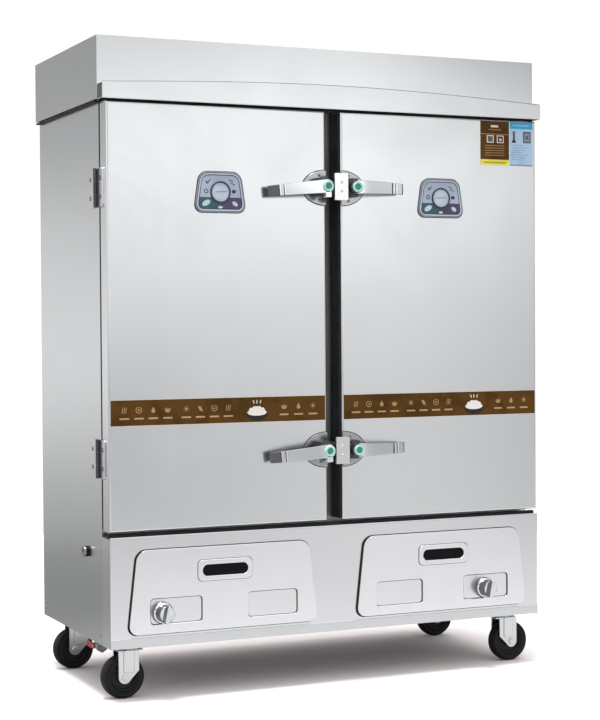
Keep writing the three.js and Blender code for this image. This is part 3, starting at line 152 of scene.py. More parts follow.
# %% Paint the studio around the cart
LEFT_LEVELS = [(0.0, 0.60), (0.42, 0.54), (0.46, 0.36), (0.50, 0.64), (0.53, 1.04), (0.552, 2.3),
               (0.57, 0.78), (0.62, 0.50), (0.85, 1.6), (1.0, 1.9)]
FRONT_LEVELS = [(0.0, 0.70), (0.42, 0.92), (0.46, 0.88), (0.50, 0.73), (0.53, 1.14), (0.552, 2.4),
                (0.575, 1.30), (0.62, 0.90), (0.85, 1.6), (1.0, 1.9)]
BESIDE_LEVELS = [(0.0, 0.70), (0.42, 0.92), (0.46, 0.88), (0.50, 0.80), (0.53, 1.66), (0.552, 2.4),
                 (0.568, 0.5), (0.60, 0.2), (0.85, 1.4), (1.0, 1.7)]
RIGHT_LEVELS = [(0.0, 0.39), (0.42, 0.50), (0.46, 0.47), (0.50, 0.38), (0.53, 0.58), (0.55, 1.2),
                (0.57, 0.30), (0.62, 0.16), (0.85, 0.9), (1.0, 1.1)]
BEHIND_LEVELS = [(0.0, 0.36), (0.44, 0.42), (0.49, 0.90), (0.52, 0.78), (0.555, 0.44), (0.60, 0.36),
                 (0.70, 0.6), (1.0, 1.6)]
ZONES = [("X", (0.34, 0.46), FRONT_LEVELS), ("X", (0.44, 0.475), BESIDE_LEVELS),
         ("X", (0.485, 0.535), RIGHT_LEVELS), ("Y", (-0.15, 0.75), BEHIND_LEVELS)]
BRIGHTEST = 2.4
WHITE_BACKGROUND = 1.05

world = bpy.data.worlds.new("studio")
bpy.context.scene.world = world
sky = empty_tree(world)
direction = add_node(sky, "ShaderNodeTexCoord").outputs["Generated"]
along = add_node(sky, "ShaderNodeSeparateXYZ", {"Vector": direction}).outputs
rise = add_node(sky, "ShaderNodeMath", {0: along["Z"], 1: 0.5, 2: 0.5}, operation="MULTIPLY_ADD").outputs[0]


def sky_light(levels):
    """A light whose brightness follows the height in the sky. A ramp holds no more than 1."""
    colour = ramp(sky, rise, [(spot, grey(value / BRIGHTEST)) for spot, value in levels])
    return add_node(sky, "ShaderNodeBackground", {"Color": colour, "Strength": BRIGHTEST}).outputs[0]


def mix_light(mask, first, second):
    return add_node(sky, "ShaderNodeMixShader", {0: mask, 1: first, 2: second}).outputs[0]


painted = sky_light(LEFT_LEVELS)
for axis, (start, end), levels in ZONES:
    mask = add_node(sky, "ShaderNodeMapRange", {"Value": along[axis], "From Min": start, "From Max": end},
                    interpolation_type="SMOOTHSTEP").outputs[0]
    painted = mix_light(mask, painted, sky_light(levels))
plain = {"Color": (1, 1, 1, 1), "Strength": WHITE_BACKGROUND}
background = add_node(sky, "ShaderNodeBackground", plain).outputs[0]
seen = add_node(sky, "ShaderNodeLightPath").outputs["Is Camera Ray"]
add_node(sky, "ShaderNodeOutputWorld", {"Surface": mix_light(seen, painted, background)})
bpy.context.scene.view_settings.view_transform = "Standard"
print("studio painted in", len(ZONES) + 1, "zones")

# %% [markdown]
# The floor is a large disc under a high, wide sun, whose size in the sky sets how soft the dark
# patch under the cart is. The camera sees the floor at full white. The steel sees it greyer, a
# little lighter close in front of the cart and much darker behind it, as in a studio where the
# light falls on the front.

# %% Lay the floor and hang the sun
FLOOR_RADIUS = 2.9
FLOOR_SIDES = 96
FLOOR_GRAIN = 60
FLOOR_SEEN = (0.94, 0.88, 0.875)
FLOOR_MIRRORED = [(0.2, grey(0.375)), (0.4, grey(0.47)), (0.52, grey(0.24)), (0.7, grey(0.14))]
SUN_STRENGTH = 2.7
SUN_SPREAD = math.radians(15)
SUN_LEAN = (math.radians(5), math.radians(-6), 0)


def tinted(tone, tint):
    return [tone * part for part in tint]


def new_mesh_object(name, shape):
    mesh = bpy.data.meshes.new(name)
    shape.to_mesh(mesh)
    shape.free()
    return add_object(name, mesh)


def floor_material():
    material = bpy.data.materials.new("studio_floor")
    tree = empty_tree(material)
    spot = add_node(tree, "ShaderNodeTexCoord").outputs["Object"]
    depth = add_node(tree, "ShaderNodeSeparateXYZ", {"Vector": spot}).outputs["Y"]
    share = add_node(tree, "ShaderNodeMapRange", {"Value": depth, "From Min": -FLOOR_RADIUS,
                                                  "From Max": FLOOR_RADIUS}).outputs[0]
    mirrored = add_node(tree, "ShaderNodeBsdfDiffuse", {"Color": ramp(tree, share, FLOOR_MIRRORED)})
    grain = add_node(tree, "ShaderNodeTexNoise", {"Vector": spot, "Scale": FLOOR_GRAIN}).outputs["Fac"]
    paper = ramp(tree, grain, [(0.3, FLOOR_SEEN), (0.7, tinted(0.99, FLOOR_SEEN))])
    direct = add_node(tree, "ShaderNodeBsdfDiffuse", {"Color": paper})
    from_camera = add_node(tree, "ShaderNodeLightPath").outputs["Is Camera Ray"]
    surface = add_node(tree, "ShaderNodeMixShader", {0: from_camera, 1: mirrored.outputs[0],
                                                     2: direct.outputs[0]})
    add_node(tree, "ShaderNodeOutputMaterial", {"Surface": surface.outputs[0]})
    return material


floor_shape = bmesh.new()
bmesh.ops.create_circle(floor_shape, cap_ends=True, radius=FLOOR_RADIUS, segments=FLOOR_SIDES)
floor = new_mesh_object("floor", floor_shape)
floor.data.materials.append(floor_material())
sun = add_object("sun", bpy.data.lights.new("sun", "SUN"))
sun.rotation_euler = SUN_LEAN
sun.data.energy = SUN_STRENGTH
sun.data.angle = SUN_SPREAD
print("floor", FLOOR_RADIUS, "m in radius")

# %% [markdown]
# Effects that several finishes share are node groups: the fine lines that a belt leaves in steel,
# soft handling marks, and a fine moulded grain. Each gives only a mask or a height, and every
# material decides what to do with it.

# %% Build the shared effects
def new_group(name, kind, input_name, value, outputs):
    """A group with one input, and the sockets at its two ends."""
    tree = bpy.data.node_groups.new(name, "ShaderNodeTree")
    tree.interface.new_socket(input_name, in_out="INPUT", socket_type=kind).default_value = value
    for output in outputs:
        tree.interface.new_socket(output, in_out="OUTPUT", socket_type="NodeSocketFloat")
    return tree, tree.nodes.new("NodeGroupInput").outputs[0], tree.nodes.new("NodeGroupOutput").inputs


def object_place(tree):
    return add_node(tree, "ShaderNodeTexCoord").outputs["Object"]


brushing, given, result = new_group("brushing", "NodeSocketVector", "Lines per metre", (300, 300, 6),
                                    ["Lines", "Bands"])
stretched = add_node(brushing, "ShaderNodeVectorMath", {0: object_place(brushing), 1: given},
                     operation="MULTIPLY").outputs[0]
lines = add_node(brushing, "ShaderNodeTexNoise",
                 {"Vector": stretched, "Scale": 1, "Detail": 3, "Roughness": 0.6})
bands = add_node(brushing, "ShaderNodeTexNoise", {"Vector": stretched, "Scale": 0.06, "Detail": 2})
brushing.links.new(lines.outputs["Fac"], result["Lines"])
brushing.links.new(bands.outputs["Fac"], result["Bands"])

handling, given, result = new_group("handling", "NodeSocketFloat", "Size", 3.0, ["Marks"])
soft = add_node(handling, "ShaderNodeTexNoise",
                {"Vector": object_place(handling), "Scale": given, "Detail": 5, "Roughness": 0.55,
                 "Distortion": 0.6})
spread = add_node(handling, "ShaderNodeMapRange",
                  {"Value": soft.outputs["Fac"], "From Min": 0.42, "From Max": 0.68},
                  interpolation_type="SMOOTHSTEP")
handling.links.new(spread.outputs[0], result["Marks"])

moulding, given, result = new_group("moulding", "NodeSocketFloat", "Grains per metre", 900, ["Grain"])
grain = add_node(moulding, "ShaderNodeTexVoronoi", {"Vector": object_place(moulding), "Scale": given},
                 feature="SMOOTH_F1")
moulding.links.new(grain.outputs["Distance"], result["Grain"])
print("groups", sorted(group.name for group in bpy.data.node_groups))

# %% [markdown]
# Every finish starts from the same nodes: a principled shader, whose constants sit on its own
# sockets, the groups above, a remapped mask for the roughness and a bump for the relief. They are
# made by small functions, so a finish is later a single line that says only what is special.

# %% Define what every finish starts from
finish = {}


def new_material(name, **constants):
    finish[name] = bpy.data.materials.new(name)
    tree = empty_tree(finish[name])
    inputs = {socket.replace("_", " "): value for socket, value in constants.items()}
    shader = add_node(tree, "ShaderNodeBsdfPrincipled", inputs)
    add_node(tree, "ShaderNodeOutputMaterial", {"Surface": shader.outputs[0]})
    return tree, shader.inputs


def place_group(tree, group, value):
    node = add_node(tree, "ShaderNodeGroup", node_tree=group)
    node.inputs[0].default_value = value
    return node.outputs


def between(tree, value, low, high):
    return add_node(tree, "ShaderNodeMapRange", {"Value": value, "To Min": low, "To Max": high}).outputs[0]


def bump(tree, height, strength, distance):
    inputs = {"Height": height, "Strength": strength, "Distance": distance}
    return add_node(tree, "ShaderNodeBump", inputs).outputs[0]


print("finish tools ready")

# %% [markdown]
# A steel is a metal whose tone drifts very slightly, with a satin roughness that follows the
# brushing lines and the marks that hands leave. The doors are brushed upright, the crown and the
# base along their length, and a polished piece has marks so fine that they have no direction. The
# tones were matched to the photo, where each part of the cart mirrors another part of the studio.

# %% Build the steels
COOL = (0.978, 1.0, 1.018)
NEUTRAL = (0.99, 0.992, 1.018)
UPRIGHT = (420, 420, 5)
LEVEL = (5, 420, 420)
BELT_MARK = 0.4 * MM
MARK_SIZE = 2.6
TONE_DRIFT = 0.985


def steel(name, tone, gloss=0.2, spread=0.03, lines=UPRIGHT, tint=COOL, depth=0.006):
    tree, surface = new_material(name, Metallic=1.0)
    brushed = place_group(tree, brushing, lines)
    touched = place_group(tree, handling, MARK_SIZE)
    tones = [(0.25, tinted(tone * TONE_DRIFT, tint)), (0.75, tinted(tone, tint))]
    tree.links.new(ramp(tree, brushed["Bands"], tones, "LINEAR"), surface["Base Color"])
    satin = add_node(tree, "ShaderNodeMath", {0: between(tree, brushed["Lines"], gloss, gloss + spread),
                                              1: between(tree, touched["Marks"], 0, spread)}, operation="ADD")
    tree.links.new(satin.outputs[0], surface["Roughness"])
    tree.links.new(bump(tree, brushed["Lines"], depth, BELT_MARK), surface["Normal"])


# Painted light: these are lit and shaded copies of one steel, each tone set for the part of the studio that
# its part mirrors; grey_steel and shade_steel are painted shade.
steel("front_steel", 0.8)
steel("visor_steel", 0.8, lines=LEVEL)
steel("crown_steel", 0.74, gloss=0.16, lines=LEVEL)
steel("side_steel", 0.74)
steel("base_steel", 0.84, lines=LEVEL, tint=NEUTRAL)
steel("pressed_steel", 0.94, tint=NEUTRAL)
steel("pocket_highlight_steel", 0.89, tint=NEUTRAL)
steel("liner_steel", 0.62, gloss=0.3)
steel("deck_steel", 0.6, gloss=0.34)
steel("polished_steel", 0.66, gloss=0.12, spread=0.06, lines=(900, 900, 900))
steel("chrome", 0.86, gloss=0.06, lines=(700, 700, 700))
steel("bright_steel", 0.9, gloss=0.16)
steel("fork_steel", 0.76, gloss=0.16, tint=NEUTRAL)
steel("plate_steel", 0.46)
steel("grey_steel", 0.34, gloss=0.24)
steel("shade_steel", 0.16, gloss=0.3)
print("steels", len(finish))

# %% [markdown]
# Paints, rubber, foam and moulded plastics share one recipe: a colour that varies a little over
# the surface, a grain that catches the light, and a roughness that follows the wear. Printed inks
# use it too, with hardly any grain.

# %% Build the paints, plastics, castings and inks
GRAIN_HEIGHT = 0.5 * MM


def coated(name, colour, gloss=0.4, spread=0.1, grains=900, depth=0.02, drift=0.12, size=14, **constants):
    tree, surface = new_material(name, **constants)
    touched = place_group(tree, handling, size)
    grainy = place_group(tree, moulding, grains)
    tones = [(0.1, colour), (0.9, tinted(1 - drift, colour))]
    tree.links.new(ramp(tree, touched["Marks"], tones, "LINEAR"), surface["Base Color"])
    tree.links.new(between(tree, touched["Marks"], gloss, gloss + spread), surface["Roughness"])
    tree.links.new(bump(tree, grainy["Grain"], depth, GRAIN_HEIGHT), surface["Normal"])


coated("foam", (0.80, 0.72, 0.42), gloss=0.85, grains=500, depth=0.6, size=30)
coated("rubber", (0.016, 0.016, 0.018), gloss=0.55, grains=1400, depth=0.25, Specular_IOR_Level=0.3)
coated("tyre", (0.01, 0.01, 0.012), gloss=0.48, grains=1200, depth=0.2, Specular_IOR_Level=0.25)
coated("hub_black", (0.018, 0.018, 0.02), depth=0.05, Specular_IOR_Level=0.25)
coated("dark_glass", (0.004, 0.004, 0.006), gloss=0.2, depth=0.01, Specular_IOR_Level=0.12)
coated("brown_film", (0.105, 0.048, 0.010), gloss=0.5, drift=0.3, Specular_IOR_Level=0.08)
coated("card_brown", (0.10, 0.045, 0.010), gloss=0.45, drift=0.3, Specular_IOR_Level=0.1)
coated("card_grey", (0.10, 0.10, 0.11), gloss=0.5, drift=0.3)
coated("badge", (0.36, 0.42, 0.56), gloss=0.25, Coat_Weight=0.4)
coated("dial_glass", (0.48, 0.57, 0.66), gloss=0.15, depth=0.01, Coat_Weight=0.5)
coated("brass", (0.62, 0.46, 0.19), gloss=0.28, grains=1800, depth=0.05, Metallic=1.0)
coated("cast_iron", (0.05, 0.048, 0.046), gloss=0.6, grains=700, depth=0.7, Metallic=0.6)
# Painted shade: dark_steel stands for shade on steel wherever the pieces below use it.
coated("dark_steel", (0.10, 0.10, 0.11), gloss=0.35, depth=0.05, Metallic=0.9)
coated("badge_rim", (0.30, 0.31, 0.37), gloss=0.3, depth=0.03, Metallic=0.4)
coated("red_plastic", (0.42, 0.006, 0.02), gloss=0.32, depth=0.05)
coated("teal_cap", (0.035, 0.26, 0.21), gloss=0.35, depth=0.03)
coated("rice_white", (0.86, 0.82, 0.78), gloss=0.6, grains=1600, depth=0.5)

PRINTS = {
    "mint_cap": (0.35, (0.44, 0.74, 0.66)), "badge_face": (0.3, (0.42, 0.47, 0.60)),
    "badge_ink_and_shadow": (0.4, (0.022, 0.045, 0.075)), "badge_teal": (0.35, (0.03, 0.10, 0.13)),
    "badge_dusk": (0.35, (0.075, 0.055, 0.12)), "gold_ink": (0.4, (0.42, 0.27, 0.11)),
    "caption_ink": (0.4, (0.50, 0.34, 0.17)), "cream_ink": (0.45, (0.72, 0.66, 0.58)),
    "card_yellow": (0.4, (0.80, 0.72, 0.10)), "card_olive": (0.4, (0.42, 0.38, 0.02)),
    "card_blue": (0.4, (0.40, 0.56, 0.76)), "card_header": (0.4, (0.03, 0.33, 0.56)),
    "card_shine": (0.4, (0.16, 0.48, 0.68)), "card_line": (0.5, (0.22, 0.30, 0.42)),
    "card_mint": (0.5, (0.42, 0.55, 0.50)),
}
for name, (gloss, colour) in PRINTS.items():
    coated(name, colour, gloss)
print("finishes", len(finish))

# %% [markdown]
# The CAD nodes that already have the right shape only change their finish. Anything that isn't
# named below keeps the finish of its slot in the record.

# %% Dress the CAD nodes
FINISH_OF = {
    "left_side_panel": "side_steel", "right_side_panel": "side_steel", "crown": "crown_steel",
    "base_front": "base_steel", "roof_deck": "deck_steel", "back_panel": "deck_steel",
    "chassis": "deck_steel",
}
SLOT_FINISH = {"brushed_steel": "front_steel"}
slot_of = {part["node"]: part["material_slot"] for part in frame["record"]["subparts"]}

for node, part in frame["nodes"].items():
    slot_name = slot_of[node]
    material = finish[FINISH_OF.get(node, SLOT_FINISH.get(slot_name, slot_name))]
    part.data.materials.clear()
    part.data.materials.append(material)
print("dressed", len(frame["nodes"]), "nodes")

# %% [markdown]
# The pieces that are modelled here start flat or round. A flat one is a slab: an outline with
# rounded corners, raised to its depth with a soft rim. Each is made in its own small space, X to
# the right, Y up and Z outwards, and then set on the cart. Operators make every face, so the shapes
# close by themselves, which faces listed by hand rarely do.

# %% Define the flat shapes
WELD = 0.01 * MM


def flat(corners, radius=0, steps=6):
    """One flat face with rounded corners."""
    shape = bmesh.new()
    outline = [shape.verts.new((*corner, 0)) for corner in corners]
    shape.faces.new(outline)
    if radius:
        bmesh.ops.bevel(shape, geom=outline, offset=radius, offset_type="OFFSET", segments=steps,
                        profile=0.5, affect="VERTICES", material=-1)
    return shape


def thicken(shape, depth):
    raised = bmesh.ops.extrude_face_region(shape, geom=shape.faces[:])["geom"]
    top = [item for item in raised if isinstance(item, bmesh.types.BMVert)]
    bmesh.ops.translate(shape, vec=(0, 0, depth), verts=top)
    return shape


def soften(shape, edges, offset, steps=3):
    bmesh.ops.bevel(shape, geom=edges, offset=offset, offset_type="OFFSET", segments=steps,
                    profile=0.5, affect="EDGES", clamp_overlap=True, material=-1)


def slab(corners, depth, radius=0, rim=0, rim_steps=3):
    shape = thicken(flat(corners, radius), depth)
    if rim:
        top = [edge for edge in shape.edges if all(abs(v.co.z - depth) < WELD for v in edge.verts)]
        soften(shape, top, rim, rim_steps)
    return shape


def rectangle(width, height, middle=(0, 0)):
    x, y = middle
    return [(x - width / 2, y - height / 2), (x + width / 2, y - height / 2),
            (x + width / 2, y + height / 2), (x - width / 2, y + height / 2)]


def panel(width, height, depth, **rounding):
    return slab(rectangle(width, height), depth, **rounding)


def rounded(corners, radius, steps=6):
    """An outline with its corners rounded, as a list of points."""
    shape = flat(corners, radius, steps)
    points = [tuple(vert.co.xy) for face in shape.faces for vert in face.verts]
    shape.free()
    return points


print("flat shapes ready")

# %% [markdown]
# A round piece is a profile spun once about its axis, as a lathe would make it. Two profiles come
# back so often that they have their own names: a button with a soft edge and a ring. Spinning with
# merged ends closes the shape where the turn meets its start.

# %% Define the round shapes
BUTTON_SIDES = 32
BUTTON_RIM = 0.6 * MM
RING_SIDES = 48
RING_RIM = 0.5 * MM
BULGE_SHARE = 0.3


def turned(profile, sides):
    shape = bmesh.new()
    points = [shape.verts.new((radius, 0, rise)) for radius, rise in profile]
    edges = [shape.edges.new(pair) for pair in zip(points, points[1:])]
    bmesh.ops.spin(shape, geom=points + edges, cent=(0, 0, 0), axis=(0, 0, 1), angle=math.tau,
                   steps=sides, use_merge=True)
    return shape


def button(radius, depth, rim=BUTTON_RIM, sides=BUTTON_SIDES):
    bulge = rim * BULGE_SHARE
    return turned([(0, 0), (radius, 0), (radius, depth - rim), (radius - bulge, depth - bulge),
                   (radius - rim, depth), (0, depth)], sides)


def ring(outer, inner, depth, rim=RING_RIM, sides=RING_SIDES):
    return turned([(inner, 0), (outer, 0), (outer, depth - rim), (outer - rim, depth), (inner + rim, depth),
                   (inner, depth - rim), (inner, 0)], sides)


print("round shapes ready")

# %% [markdown]
# Small shapes are joined to a larger one, which becomes one piece. Each is turned to face to the
# front, to a side or up, and moved to its spot, which is nearly always the rear of the CAD node
# that it stands for. The left and right halves of the cart mirror each other, so the latches are
# modelled once, for the right side.

# %% Define how shapes are set on the cart
FRONT = Matrix(((1, 0, 0), (0, 0, -1), (0, 1, 0)))
OUTWARD = {"left": Matrix(((0, 0, -1), (-1, 0, 0), (0, 1, 0))),
           "right": Matrix(((0, 0, 1), (1, 0, 0), (0, 1, 0)))}
UPWARD = Matrix.Identity(3)


def shade_where(shape, finish_index, test):
    """Paints shade: gives another, darker finish to the faces whose outward direction passes a test."""
    bmesh.ops.recalc_face_normals(shape, faces=shape.faces)
    for face in shape.faces:
        if test(face.normal):
            face.material_index = finish_index


def place(shape, part, spot=(0, 0, 0), finish_index=None, axes=FRONT):
    """Turns a small shape, moves it to its spot on the cart and joins it to a larger one."""
    bmesh.ops.transform(part, matrix=Matrix.Translation(spot) @ axes.to_4x4(), verts=part.verts)
    if finish_index is not None:
        for face in part.faces:
            face.material_index = finish_index
    step = bpy.data.meshes.new("step")
    part.to_mesh(step)
    part.free()
    shape.from_mesh(step)
    bpy.data.meshes.remove(step)


def mirror_to(shape, side):
    if side == "left":
        bmesh.ops.transform(shape, matrix=Matrix.Diagonal((-1, 1, 1, 1)), verts=shape.verts)


def rear_middle(node):
    """The middle of the rear of a node's box, where a piece stands on what is behind it."""
    low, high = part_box(node)
    return (low.x + high.x) / 2, high.y, (low.z + high.z) / 2


print("directions", sorted(OUTWARD), "and front")

# %% [markdown]
# A finished piece has its doubles merged and its faces turned outwards. It shades smooth up to a
# sharp angle, and weighted normals keep its flat faces flat, which a finer mesh would do too, but at
# many times the faces. Then it rides on the body that carries it.

# %% Define how a piece is finished
SHARP = math.radians(35)


def add_piece(name, shape, finishes, body, replaced=()):
    bmesh.ops.remove_doubles(shape, verts=shape.verts, dist=WELD)
    bmesh.ops.recalc_face_normals(shape, faces=shape.faces)
    piece = new_mesh_object(name, shape)
    for finish_name in finishes:
        piece.data.materials.append(finish[finish_name])
    piece.data.shade_smooth()
    piece.data.set_sharp_from_angle(angle=SHARP)
    piece.modifiers.new("flat_faces_stay_flat", "WEIGHTED_NORMAL").keep_sharp = True
    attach(piece, body)
    if replaced:
        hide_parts(*replaced)
    return piece


print("sharp from", round(math.degrees(SHARP)), "degrees")

# %% [markdown]
# Each door skin is a shallow pan with a softly rolled front edge. That roll is what draws the thin
# light line just inside the doors' edges. A bevelled block would look the same from outside, but a
# real skin is folded sheet, so the block loses its back and its walls get the sheet's thickness.

# %% Model the door skins
DOOR_EDGE = 5 * MM
SHEET = 1.2 * MM

for side in SIDES:
    node = f"{side}_door_skin"
    low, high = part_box(node)
    size = high - low
    pan = panel(size.x, size.z, size.y, rim=DOOR_EDGE, rim_steps=7)
    back = [face for face in pan.faces if all(abs(v.co.z) < WELD for v in face.verts)]
    bmesh.ops.delete(pan, geom=back, context="FACES_ONLY")
    bmesh.ops.recalc_face_normals(pan, faces=pan.faces)
    bmesh.ops.solidify(pan, geom=pan.faces[:], thickness=SHEET)
    shape = bmesh.new()
    place(shape, pan, rear_middle(node))
    skin = add_piece(f"{side}_door_sheet", shape, ["front_steel"], f"{side}_door", [node])
    print(skin.name, [round(c, 4) for c in skin.dimensions], "CAD", [round(c, 4) for c in size])

# %% [markdown]
# A latch lever is a flat arm that bows away from the door so that fingers fit behind it. Bending a
# straight bar would thin it on one side, so the arm's plan is a Bezier curve with a constant
# thickness instead, raised to the arm's height and then tapered to the tip. Two ridges near the tip
# stop the fingers from slipping.

# %% Model the arm of a latch lever
LEVER_LENGTH = 136 * MM
LEVER_THICKNESS = 5 * MM
LEVER_HUB_HEIGHT = 32 * MM
LEVER_TIP_HEIGHT = 25 * MM
LEVER_STRAIGHT = 70 * MM
LEVER_CURL = 26 * MM
CURVE_POINTS = 28
ARM_RIM = 1.2 * MM
RIDGE_SPOTS = (103 * MM, 113 * MM)
RIDGE_SIZE = (5 * MM, LEVER_TIP_HEIGHT * 1.02)
RIDGE_RISE = 3 * MM
TIP_START = 116 * MM
STEEP = 0.6
SAME_HEIGHT = MM
PLAN = Matrix(((1, 0, 0), (0, -1, 0), (0, 0, 1)))


def arm_path(front_reach, tip_reach):
    """The middle line of the bowed arm, from the pivot to the tip."""
    middle = front_reach - LEVER_THICKNESS / 2
    start = Vector((0, middle, 0))
    end = Vector((LEVER_LENGTH, tip_reach + LEVER_THICKNESS / 2, 0))
    curl = Vector((LEVER_LENGTH - LEVER_CURL / 2, end.y + LEVER_CURL / 2, 0))
    return interpolate_bezier(start, Vector((LEVER_STRAIGHT, middle, 0)), curl, end, CURVE_POINTS)


def lever_arm(path):
    steps = [b - a for a, b in zip(path, path[1:])]
    steps.append(steps[-1])
    offsets = [Vector((-step.y, step.x, 0)).normalized() * LEVER_THICKNESS / 2 for step in steps]
    outline = [p + n for p, n in zip(path, offsets)] + [p - n for p, n in zip(path, offsets)][::-1]
    arm = slab([(p.x, p.y) for p in outline], LEVER_HUB_HEIGHT)
    for vert in arm.verts:
        share = vert.co.x / LEVER_LENGTH
        taper = 1 + (LEVER_TIP_HEIGHT / LEVER_HUB_HEIGHT - 1) * share
        vert.co.z = (vert.co.z - LEVER_HUB_HEIGHT / 2) * taper
    long_edges = [edge for edge in arm.edges if abs(edge.verts[0].co.z - edge.verts[1].co.z) < SAME_HEIGHT]
    soften(arm, long_edges, ARM_RIM)
    return arm


def shade_arm(arm, side):
    """Painted shade: the narrow faces are darker, and so is the tip, which turns away from the light."""
    shade_where(arm, 1, lambda normal: abs(normal.z) > STEEP)
    for face in arm.faces:
        at_tip = face.calc_center_median().x > TIP_START
        if at_tip and abs(face.normal.z) < STEEP and (side == "left" or face.normal.x > STEEP):
            face.material_index = 2


print("lever arm", round(LEVER_LENGTH / MM), "mm long")

# %% [markdown]
# The arm sits on a round hub with a cam behind it, and a plastic cap of two colours closes the pivot.
# The left levers also have a short square foot below the hub, and they hang a few degrees lower. The
# cap is a piece of its own, since it is a part of another material that is pressed on.

# %% Assemble the latch levers
LEVER_DROOP = {"left": math.radians(5.5), "right": 0}
TIP_SHADE = {"left": "shade_steel", "right": "dark_steel"}
HUB_SHADE = {"left": 0, "right": 1}
TIP_STANDOFF = 15 * MM
RIDGE_STEEP = 0.7
HUB_RADIUS = 16 * MM
HUB_DEPTH = 13 * MM
HUB_RIM = 2 * MM
HUB_SIDES = 48
FOOT_SIZE = (15 * MM, 18 * MM)
FOOT_CORNER = 2 * MM
FOOT_RIM = MM
FOOT_DROP = 17 * MM
CAM_RADIUS = 19.5 * MM
CAM_DEPTH = 8 * MM
CAM_RIM = MM
CAP_RADIUS = 12.5 * MM
CAP_DEPTH = 5 * MM
CAP_RIM = MM
CAP_HOLE_SHARE = 0.62
CAP_MIDDLE_SHARE = 0.64
CAP_MIDDLE_DEPTH = CAP_DEPTH * 0.8
CAP_MIDDLE_RIM = 0.8 * MM
PIVOT_X = 38 * MM

for side in SIDES:
    for level in LEVELS:
        node = f"{side}_{level}_lever"
        pivot_z = rear_middle(f"{side}_{level}_latch_plate")[2]
        hub_reach = -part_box(node)[0].y - CAP_DEPTH
        door_reach = -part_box(f"{side}_door_skin")[0].y
        path = arm_path(hub_reach, door_reach + TIP_STANDOFF)
        lever = bmesh.new()
        arm = lever_arm(path)
        shade_arm(arm, side)
        place(lever, arm, axes=PLAN)
        for spot in RIDGE_SPOTS:
            near = min(path, key=lambda p: abs(p.x - spot))
            ridge = panel(*RIDGE_SIZE, LEVER_THICKNESS / 2 + RIDGE_RISE, rim=ARM_RIM)
            # Painted shade: the ridges' steep sides take the tip's dark finish.
            shade_where(ridge, 2, lambda normal: abs(normal.x) > RIDGE_STEEP)
            place(lever, ridge, (spot, -near.y, 0))
        hub_back = hub_reach - HUB_DEPTH
        # Painted shade: the cam, and the hub of the right levers, take the dark finish as the shade behind
        # the arm.
        hub = button(HUB_RADIUS, HUB_DEPTH, HUB_RIM, HUB_SIDES)
        place(lever, hub, (0, -hub_back, 0), HUB_SHADE[side])
        if side == "left":
            foot = panel(*FOOT_SIZE, HUB_DEPTH, radius=FOOT_CORNER, rim=FOOT_RIM)
            place(lever, foot, (0, -hub_back, -FOOT_DROP))
        cam = button(CAM_RADIUS, CAM_DEPTH, CAM_RIM, HUB_SIDES)
        place(lever, cam, (0, -hub_back + CAM_DEPTH, 0), 1)
        cap = bmesh.new()
        rim = ring(CAP_RADIUS, CAP_RADIUS * CAP_HOLE_SHARE, CAP_DEPTH, CAP_RIM)
        place(cap, rim, (0, -hub_reach, 0))
        middle = button(CAP_RADIUS * CAP_MIDDLE_SHARE, CAP_MIDDLE_DEPTH, CAP_MIDDLE_RIM)
        place(cap, middle, (0, -hub_reach, 0), 1)
        to_pivot = Matrix.Translation((PIVOT_X, 0, pivot_z)) @ Matrix.Rotation(LEVER_DROOP[side], 4, "Y")
        for shape in (lever, cap):
            bmesh.ops.transform(shape, matrix=to_pivot, verts=shape.verts)
            mirror_to(shape, side)
        add_piece(f"{node}_arm", lever, ["bright_steel", "dark_steel", TIP_SHADE[side]], f"{node}_body",
                  [node])
        add_piece(f"{node}_cap", cap, ["mint_cap", "teal_cap"], f"{node}_body")

# %% [markdown]
# Behind each lever sits a half-round plate with three screws and the block that carries the pin,
# which is painted dark as the shade between the plate and the lever. A dark backing, a little larger
# than the plate, is the shadow gap that sets it off from the door. A screw is a low dome, and two
# thin dark bars paint the shade of its cross recess more cheaply than a cut would.

# %% Model the latch plates
PLATE_THICKNESS = 3 * MM
PLATE_RIM = 0.8 * MM
PLATE_ARC_STEPS = 28
BACKING = 1.6 * MM
SCREW_SHARES = ((0.3, 0.36), (0.3, -0.36), (0.8, 0))
SCREW_SIZE = (3.6 * MM, 2 * MM)
SCREW_SIDES = 24
DOME_SHARES = ((0, 0), (1, 0), (1, 0.4), (0.86, 0.8), (0.5, 1), (0, 1))
CROSS_SHARES = (1.2, 0.26)
CROSS_RISE_SHARE = 1.04
BLOCK_SIZE = (26 * MM, 44 * MM)
BLOCK_CORNER = 3 * MM
BLOCK_RIM = 1.5 * MM
BLOCK_GAP = MM


def screw_head(radius, rise):
    head = bmesh.new()
    dome = [(radius * out, rise * up) for out, up in DOME_SHARES]
    place(head, turned(dome, SCREW_SIDES), axes=UPWARD)
    length, width = [radius * share for share in CROSS_SHARES]
    for stroke in ((length, width), (width, length)):
        # Painted shade: two dark bars for the cross recess.
        place(head, panel(*stroke, rise * CROSS_RISE_SHARE), finish_index=1, axes=UPWARD)
    return head


